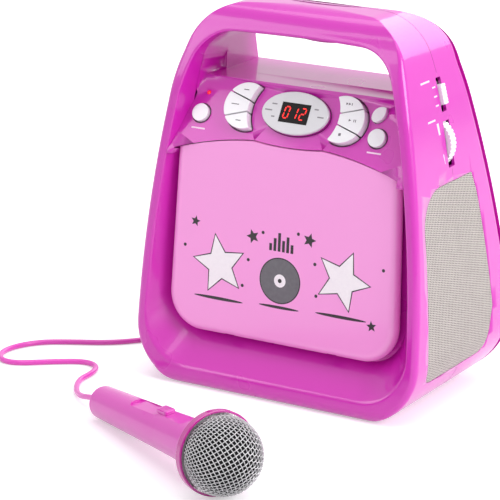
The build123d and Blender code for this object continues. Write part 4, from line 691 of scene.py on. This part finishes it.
# Bare printed bars stand where a machine has its words
print_grey = Finish("print_grey", Roughness=0.6)
print_grey.feed("Base Color", print_grey.mix(print_grey.noise(500), rgb(120, 116, 122), rgb(146, 142, 148)))
print_white = Finish("print_white", Roughness=0.5)
print_white.feed("Base Color", print_white.mix(
    print_white.noise(500), rgb(245, 205, 236), rgb(250, 222, 243)))
cover_bars = [bar(-16.6, 34.6, 2.0, 0.45), bar(-20.2, 29.9, 2.8, 0.45), bar(-15.6, 25.6, 1.3, 0.45),
              bar(16.4, 34.4, 1.6, 0.45), bar(20.9, 29.3, 2.4, 0.45)]
prints("cover_marks", cover_bars, lambda x, s, n: on_panel(x, s, cover_n - 0.02 + n), "cabinet", print_grey,
       "display_cover", 0.06)
panel_bars = [bar(-73.5, 10.6, 5.4, 0.55), bar(65.5, 11.4, 5.4, 0.55)]
prints("panel_marks", panel_bars, lambda x, s, n: on_panel(x, s, n - 0.02), "cabinet", print_white,
       "shell", 0.06)

def triangle(x, s, size):
    """A play symbol that points right."""
    return np.array([(x - size, s - size), (x + size, s), (x - size, s + size)])


# Symbols on the keys: triangles and bars for skip and play, a square for stop, thin bars on the others
print_dark = Finish("print_dark", Roughness=0.5)
print_dark.feed("Base Color", print_dark.mix(print_dark.noise(500), rgb(96, 90, 98), rgb(120, 112, 122)))
key_top = visor_n + 2.2 - 0.02
key_symbols = {
    "skip_back_key": [triangle(39.2, 41.2, 0.9), triangle(41.2, 41.2, 0.9), bar(42.9, 41.2, 0.3, 0.9)],
    "play_key": [triangle(44.4, 30, 0.95), bar(47.4, 30, 0.3, 0.95), bar(48.7, 30, 0.3, 0.95)],
    "stop_key": [bar(39.6, 19.2, 0.95, 0.95)],
    "eject_key": [bar(-40.4, 41.2, 2.0, 0.32)],
    "mode_key": [bar(-46.2, 30, 3.0, 0.32)],
    "program_key": [bar(-40.4, 18.8, 2.0, 0.32)],
}
for name, shapes in key_symbols.items():
    prints(name + "_symbol", shapes, lambda x, s, n: on_panel(x, s, key_top + n), name + "_body", print_dark,
           "key_white", 0.06)

# Painted shade: dark rings round the keys and the cover stand for the shade in their gaps. Each lies on the
# panel, found by a ray along its normal
key_gap_shade = Finish("key_gap_shade", Roughness=0.35)
key_gap_shade.feed("Base Color", key_gap_shade.mix(key_gap_shade.noise(300), rgb(52, 6, 44), rgb(72, 14, 60)))
casing_tree = BVHTree.FromPolygons(
    [v.co for v in nodes["front_shell"].data.vertices],
    [tuple(p.vertices) for p in nodes["front_shell"].data.polygons])


def lies_at(x, s):
    """How far out of the panel's plane the casing lies at x and s."""
    start = on_panel(x, s, 14.0)
    heights = []
    for point in start:
        hit = casing_tree.ray_cast(Vector(point), Vector(-panel_out), 0.016)[3]
        heights.append(14.0 - hit / mm if hit is not None and hit < 0.015 else np.nan)
    heights = np.array(heights)
    known = np.isfinite(heights)
    return np.interp(np.arange(len(heights)), np.flatnonzero(known), heights[known])


def painted_shade_ring(name, outline, near, far):
    """A closed ring of painted shade that lies on the panel round an outline, from near to far outside it."""
    inner, outer = inset(outline, np.full(len(outline), -near)), inset(outline, np.full(len(outline), -far))
    count = len(outline)
    rows = []
    for loop, rise in ((outer, -0.15), (outer, 0.07), (inner, 0.07), (inner, -0.15)):
        rows.append(on_panel(loop[:, 0], loop[:, 1], lies_at(*loop.T) + rise))
    rows.append(rows[0])
    return ride_as(surface(name, np.concatenate(rows), grid_faces(5, count, flip=True)), "cabinet",
                   key_gap_shade, "black_plastic")


def crescent_loop(side):
    """Outline of the three keys of one crescent: an outer arc and an inner arc between two tips."""
    tip_x, tip_s, outer_x, inner_x = 31.0, 15.2, 55.0, 35.6
    low, high = (tip_x, display_s - tip_s), (tip_x, display_s + tip_s)
    out, _ = arc_through(low, (outer_x, display_s), high, 44)
    back, _ = arc_through(high, (inner_x, display_s), low, 32)
    loop = np.concatenate([out, back])
    return loop if side > 0 else (loop * [-1, 1])[::-1]


# Rings of painted shade round the crescent keys, the round keys and the display cover
for side, name in ((-1, "left"), (1, "right")):
    painted_shade_ring("crescent_collar_" + name, crescent_loop(side), 0.5, 1.25)
for name, place in (("power", (-74.0, 21.5)), ("memory", (65.5, 21.5))):
    painted_shade_ring(name + "_collar", oval(*place, 6.4, 6.4, 40), 0.45, 1.05)
painted_shade_ring("cover_collar", oval(display_x, display_s, 26, 15.3, 60), 0.22, 0.75)


# ---------------------------------------------------------------- disc door
# One pale pink moulding with broad rounded edges, hinged at its foot, with a printed design: two stars and
# a disc with level bars, as thin ink on its face.

door_plastic = Finish("door_plastic", Base_Color=rgb(250, 158, 226), Coat_Weight=0.5, Coat_Roughness=0.1)
door_plastic.feed("Roughness", door_plastic.noise(25) * 0.1 + 0.28)
wear(nodes["disc_door"], finish=door_plastic)

door_face = 12.8
door_up = np.array([0, sin(radians(4.5)), cos(radians(4.5))])
door_out = np.array([0, -cos(radians(4.5)), sin(radians(4.5))])


def on_door(x, v, n=0.0):
    """Points in metres from x across the door, v up it from the floor line and n out of its face."""
    x, v, n = np.broadcast_arrays(np.asarray(x, float), v, n)
    flat = x[..., None] * [1.0, 0, 0] + v[..., None] * door_up + (door_face + n)[..., None] * door_out
    return (np.array([0, floor_foot, 0]) + flat) * mm


def star(x, v, outer, inner, turn, points=5):
    """A star with its points at the outer radius and its notches at the inner one."""
    a = radians(turn) + pi / 2 + pi * np.arange(2 * points) / points
    reach = np.where(np.arange(2 * points) % 2 == 0, outer, inner)
    return np.stack([x + reach * np.cos(a), v + reach * np.sin(a)], axis=1)


ink_black = Finish("ink_black", Roughness=0.4)
ink_black.feed("Base Color", ink_black.mix(ink_black.noise(400), rgb(26, 22, 26), rgb(40, 34, 38)))
ink_white = Finish("ink_white", Roughness=0.4)
ink_white.feed("Base Color", ink_white.mix(ink_white.noise(400), rgb(246, 240, 246), rgb(255, 250, 254)))
ink_grey = Finish("ink_grey", Roughness=0.4)
ink_grey.feed("Base Color", ink_grey.mix(ink_grey.noise(400), rgb(92, 90, 96), rgb(112, 110, 116)))

big_stars = [(-49, 88, 21, 9.6, 12), (49, 92, 21, 9.6, -20)]
small_stars = [(-23, 112, 5.2, 2.4, 20), (22, 116, 5.2, 2.4, -14),
               (-70, 116, 4.0, 1.8, -10), (73, 64, 4.0, 1.8, 8)]
disc_x, disc_v, disc_reach = 0.0, 84.0, 15.5
levels = [5, 9, 13, 8, 11, 6]                # heights of the level bars over the disc
dots = [(-26, 95), (27, 100), (-30, 76), (29, 78), (-15, 116), (13, 119), (-78, 98), (80, 104)]
black_shapes = [star(x, v, outer + 1.5, inner + 1.0, turn) for x, v, outer, inner, turn in big_stars]
black_shapes += [star(*shape) for shape in small_stars]
black_shapes += [oval(disc_x, disc_v, disc_reach + 0.8, disc_reach + 0.8, 48)]
black_shapes += [oval(-49, 63.5, 20, 1.1), oval(49, 66.5, 20, 1.1), oval(0, 65.2, 16, 1.0)]
black_shapes += [
    bar(disc_x + 3.4 * (k - 2.5), 104.5 + level / 2, 1.1, level / 2) for k, level in enumerate(levels)]
black_shapes += [oval(x, v, 1.2, 1.2, 16) for x, v in dots]
white_shapes = [star(*shape) for shape in big_stars] + [oval(disc_x, disc_v, 4.6, 4.6, 32)]
grey_shapes = [oval(disc_x, disc_v, disc_reach, disc_reach, 48)]
prints("door_print_black", black_shapes, on_door, "door", ink_black, "black_plastic", 0.05)
prints("door_print_grey", grey_shapes, lambda x, v, n: on_door(x, v, n + 0.04), "door", ink_grey,
       "door", 0.04)
prints("door_print_white", white_shapes, lambda x, v, n: on_door(x, v, n + 0.05), "door", ink_white,
       "door", 0.06)
hub = [oval(disc_x, disc_v, 1.5, 1.5, 20)]
prints("door_print_hub", hub, lambda x, v, n: on_door(x, v, n + 0.1), "door", ink_black,
       "black_plastic", 0.05)


# ---------------------------------------------------------------- side controls and their scales
# A ribbed white wheel for the volume and a ribbed white slider above it stand out of slots across the
# seam. Beside them the side is printed with a wedge, ticks and bare bars.

wear(nodes["volume_wheel"], nodes["function_slider"], finish=key_white)
side_half = outer_arch[:len(outer_arch) // 2]
wheel_slot, slider_slot, grille_opening = (167.0, 199.4), (204.0, 229.4), (26.4, 158.6)


def on_side(y, z, n=0.0):
    """Points in metres on the right side wall at y and z, and n out of it."""
    y, z, n = np.broadcast_arrays(np.asarray(y, float), z, n)
    rising = side_half[side_half[:, 1] > 30]
    x = np.interp(z, rising[:, 1], rising[:, 0]) + n
    return np.stack([x, y, z], axis=-1) * mm


side_marks = [bar(-1.5, 227.5, 6.2, 0.6), bar(8.6, 222.6, 2.2, 0.5), bar(8.6, 216.5, 2.2, 0.5),
              bar(8.6, 210.4, 2.2, 0.5), bar(-2.5, 201.8, 5.2, 0.6),
              np.array([(3.6, 199.0), (6.4, 199.0), (8.4, 171.0), (7.9, 171.0)])[::-1]]
prints("side_marks", side_marks, on_side, "cabinet", print_white, "shell", 0.08)

# The joint line between the shells, as a fine dark ribbon set on the wall
seam_dark = Finish("seam_dark", Roughness=0.5)
seam_dark.feed("Base Color", seam_dark.mix(seam_dark.noise(200), rgb(128, 8, 104), rgb(150, 16, 124)))
proud = inset(outer_arch, np.full(len(outer_arch), -0.03))
sunk = inset(outer_arch, np.full(len(outer_arch), 0.12))
seam_rows = np.stack([at_depth(loop, y) for loop, y in (
    (sunk, seam_y - 0.25), (proud, seam_y - 0.22), (proud, seam_y + 0.22), (sunk, seam_y + 0.25))])
seam_quads = grid_faces(4, len(outer_arch), flip=True)
heights = seam_rows[0, :, 2][seam_quads % len(outer_arch)]
rightward = seam_rows[0, :, 0][seam_quads % len(outer_arch)].min(axis=1) > 0
broken = np.zeros(len(seam_quads), bool)
for low, high in (wheel_slot, slider_slot, grille_opening):
    hit = (heights.max(axis=1) > low) & (heights.min(axis=1) < high)
    broken |= hit & (rightward | (low == grille_opening[0]))
seam_line = surface("seam_line", seam_rows.reshape(-1, 3) * mm, seam_quads[~broken])
ride_as(seam_line, "cabinet", seam_dark, "shell")


# ---------------------------------------------------------------- loudspeaker grilles
# Pressed sheet metal in a warm light grey, cut through with short slanted dashes in staggered columns.

grille_metal = Finish("grille_metal", Metallic=0.0, Specular_IOR_Level=0.4)
_, behind, above = grille_metal.axes()
column_width, row_height, slant = 0.00215, 0.00125, 420
column = behind / column_width
stagger = (column - column % 1) * 0.5
offset_z = above / row_height + behind * slant + stagger
dash = (abs(column % 1 - 0.5) < 0.36) & (abs(offset_z % 1 - 0.5) < 0.23)
tone = grille_metal.mix(grille_metal.noise(90), rgb(190, 181, 176), rgb(206, 198, 192))
grille_metal.feed("Base Color", grille_metal.mix(dash, tone, rgb(58, 50, 56)))
grille_metal.feed("Roughness", grille_metal.noise(300) * 0.15 + 0.4)
grille_metal.bump(1 - dash, 0.0004)
wear(nodes["speaker_grille_left"], nodes["speaker_grille_right"], finish=grille_metal)


# ---------------------------------------------------------------- hand microphone
# A tapered pink handle with a sunk slot for its switch, a glossy ring, and a ball of woven steel wire over
# black foam. The wires lie as a square net that closes up towards the ring.

mic_tail = np.array([-81.9, -137.5, 11.225])
mic_axis = np.array([0.872884, -0.476703, 0.104057])
mic_side = np.array([0.4793, 0.8777, 0.0])
mic_side = mic_side / np.linalg.norm(mic_side)
mic_top = np.cross(mic_axis, mic_side)
ball_from_tail, ball_radius = 168.0, 26.0


def on_ball(u, v, radius):
    """Points in metres of a sheet wrapped on the ball from its front: the distance from the sheet's middle
    becomes the angle from the microphone's axis, times the ball's radius."""
    reach = np.hypot(u, v)
    angle = reach / ball_radius
    out = radius * np.sin(angle) / np.maximum(reach, 1e-6)
    along = ball_from_tail + radius * np.cos(angle)
    return (mic_tail + along[..., None] * mic_axis + (out * u)[..., None] * mic_side
            + (out * v)[..., None] * mic_top) * mm


def wire_net(name, wires, radius, finish, sides=5):
    """Round wires as one mesh: each is a pair of its middle line and the directions out of the sheet."""
    angles = 2 * pi * np.arange(sides) / sides + 0.3
    points, faces, first = [], [], 0
    for middle, outward in wires:
        along = np.gradient(middle, axis=0)
        beside = np.cross(outward, along)
        beside /= np.linalg.norm(beside, axis=1)[:, None]
        upward = np.cross(along, beside)
        upward /= np.linalg.norm(upward, axis=1)[:, None]
        turn, swing = np.cos(angles)[None, :, None], np.sin(angles)[None, :, None]
        ring = turn * upward[:, None] + swing * beside[:, None]
        points.append((middle[:, None] + radius * mm * ring).reshape(-1, 3))
        rows = len(middle)
        faces += (first + grid_faces(rows, sides)).tolist()
        faces.append((first + np.arange(sides)[::-1]).tolist())
        faces.append((first + (rows - 1) * sides + np.arange(sides)).tolist())
        first += rows * sides
    return ride_as(surface(name, np.concatenate(points), faces), "microphone", finish, "mesh")


net_pitch, wire_radius, weave_rise = 2.9, 0.34, 0.3
net_turn = radians(24)
net_reach = ball_radius * radians(101)
wires = []
for family in (0, 1):
    for k in range(-19, 20):
        offset = (k + 0.5) * net_pitch
        if abs(offset) > net_reach - 3:
            continue
        half = sqrt(net_reach ** 2 - offset ** 2)
        t = np.linspace(-half, half, 8 + int(half / net_pitch * 7))
        rise = weave_rise * np.sin(pi * (t / net_pitch + k + family))
        u, v = (np.full_like(t, offset), t) if family == 0 else (t, np.full_like(t, offset))
        u, v = u * cos(net_turn) - v * sin(net_turn), u * sin(net_turn) + v * cos(net_turn)
        middle = on_ball(u, v, ball_radius - wire_radius - weave_rise + rise)
        wires.append((middle, middle - (mic_tail + ball_from_tail * mic_axis) * mm))

wire_steel = Finish("wire_steel", Base_Color=rgb(196, 194, 197), Metallic=0.9)
wire_steel.feed("Roughness", wire_steel.noise(500) * 0.12 + 0.24)
ball_net = wire_net("ball_net", wires, wire_radius, wire_steel)

# The narrow band of the same net on the cone behind the ring
band_from, band_to = 144.8, 156.8
band_knees = np.array([(band_from, 16.3), (151.5, 17.8), (band_to, 26.2)])
band = []
for lean in (-1, 1):
    for k in range(60):
        t = np.linspace(0, 1, 11)
        a = 2 * pi * k / 60 + lean * t * 0.5
        along = band_from + (band_to - band_from) * t
        radius = np.interp(along, *band_knees.T) + 0.12 * lean * np.sin(pi * t * 10)
        out = np.cos(a)[:, None] * mic_side + np.sin(a)[:, None] * mic_top
        band.append(((mic_tail + along[:, None] * mic_axis + radius[:, None] * out) * mm, out))
wire_net("band_net", band, 0.3, wire_steel, sides=4)


def turned(name, profile, count, body, finish, slot):
    """A closed shape turned about the microphone's axis: the profile is pairs of distance from the tail and
    radius, and its ends lie on the axis."""
    profile = np.asarray(profile, float)
    a = 2 * pi * np.arange(count) / count
    out = np.cos(a)[:, None] * mic_side + np.sin(a)[:, None] * mic_top
    inner = profile[1:-1]
    rings = mic_tail + inner[:, :1, None] * mic_axis + inner[:, 1:, None] * out
    tips = mic_tail + profile[[0, -1], :1] * mic_axis
    rows = len(inner)
    faces = grid_faces(rows, count, flip=True).tolist()
    near, far = rows * count, rows * count + 1
    ring = np.arange(count)
    after = (ring + 1) % count
    faces += np.stack([np.full(count, near), ring, after], axis=1).tolist()
    last = (rows - 1) * count
    faces += np.stack([np.full(count, far), last + after, last + ring], axis=1).tolist()
    points = np.concatenate([rings.reshape(-1, 3), tips]) * mm
    return ride_as(surface(name, points, faces), body, finish, slot)


foam_black = Finish("foam_black", Roughness=0.95)
foam_black.feed("Base Color", foam_black.mix(foam_black.noise(700), rgb(6, 6, 7), rgb(20, 19, 21)))
foam_reach = 24.4
arc = np.linspace(0, radians(168), 30)
foam_profile = [(ball_from_tail + foam_reach * cos(a), foam_reach * sin(a)) for a in arc[::-1]]
foam_profile = [(148.6, 0.0), (148.6, 12.6)] + [(s, r) for s, r in foam_profile if s > band_to - 0.4]
foam_profile[-1] = (foam_profile[-1][0], 0.0)
turned("ball_foam", foam_profile, 48, "microphone", foam_black, "black_plastic")
sleeve = [(156.6, 0.0), (156.6, 25.6), (151.5, 17.4), (band_from - 0.2, 16.1), (band_from - 0.2, 0.0)][::-1]
turned("ball_sleeve", sleeve, 64, "microphone", wire_steel, "mesh")
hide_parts("mic_ball")

mic_plastic = Finish("mic_plastic", Base_Color=rgb(214, 46, 180), Coat_Weight=0.5, Coat_Roughness=0.06)
mic_plastic.feed("Roughness", mic_plastic.noise(40) * 0.1 + 0.26)
wear(nodes["mic_handle"], nodes["mic_switch"], finish=mic_plastic)
ring_plastic = Finish("ring_plastic", Base_Color=rgb(188, 16, 146), Coat_Weight=0.6, Coat_Roughness=0.05)
ring_plastic.feed("Roughness", ring_plastic.noise(60) * 0.06 + 0.16)
wear(nodes["mic_ring"], finish=ring_plastic)
wear(nodes["mic_strain_relief"], finish=lead_sheath)


# ---------------------------------------------------------------- lamps, sockets, feet and the inside
# Lamps of clear red resin, black sockets and plugs, rubber feet, and the drive, boards and loudspeakers,
# each in its own plain moulded, pressed or laminated stuff.

red_resin = Finish("red_resin", Emission_Strength=0.5, Roughness=0.15, Coat_Weight=0.5)
red_resin.feed("Base Color", red_resin.mix(red_resin.noise(300), rgb(214, 12, 34), rgb(236, 34, 50)))
red_resin.feed("Emission Color", red_resin.mix(red_resin.noise(300), rgb(255, 20, 30), rgb(255, 50, 50)))
wear(nodes["indicator_leds"], finish=red_resin)

stuffs = {
    "black_moulding": ((30, 30, 33), (42, 42, 45), 0.42, 0.0, [
        "display_module", "battery_box", "mic_jacks", "ac_inlet", "mic_plug", "coil_tie", "mic_capsule",
        "side_controls", "tact_switches"]),
    "deck_moulding": ((54, 54, 58), (70, 70, 74), 0.5, 0.0, [
        "disc_deck", "turntable", "laser_sled", "sled_gear"]),
    "board_laminate": ((24, 92, 50), (36, 116, 62), 0.35, 0.0, [
        "control_board", "side_board", "main_board"]),
    "pressed_steel": ((176, 176, 180), (196, 196, 200), 0.35, 0.9, [
        "drive_chassis", "sled_rods", "spindle_motor", "sled_motor", "transformer", "speaker_frame_left",
        "speaker_frame_right", "door_hinge_pins", "shell_screws", "deck_screws"]),
    "bright_plate": ((206, 206, 210), (224, 224, 228), 0.16, 1.0, ["battery_contacts", "usb_port"]),
    "coated_lens": ((86, 108, 172), (120, 140, 196), 0.08, 0.0, ["laser_lens"]),
    "cone_paper": ((30, 28, 28), (46, 44, 44), 0.85, 0.0, ["speaker_cone_left", "speaker_cone_right"]),
    "black_rubber": ((24, 24, 25), (38, 38, 40), 0.75, 0.0, ["rubber_feet", "damper_bushes"]),
}
for name, (dark, light, rough, metal, pieces) in stuffs.items():
    stuff = Finish(name, Metallic=metal)
    stuff.feed("Base Color", stuff.mix(stuff.noise(220), rgb(*dark), rgb(*light)))
    stuff.feed("Roughness", stuff.noise(500) * 0.16 + (rough - 0.06))
    stuff.bump(stuff.noise(1600), 0.00003)
    wear(*[nodes[piece] for piece in pieces], finish=stuff)
wear(nodes["battery_cover"], finish=shell_plastic)
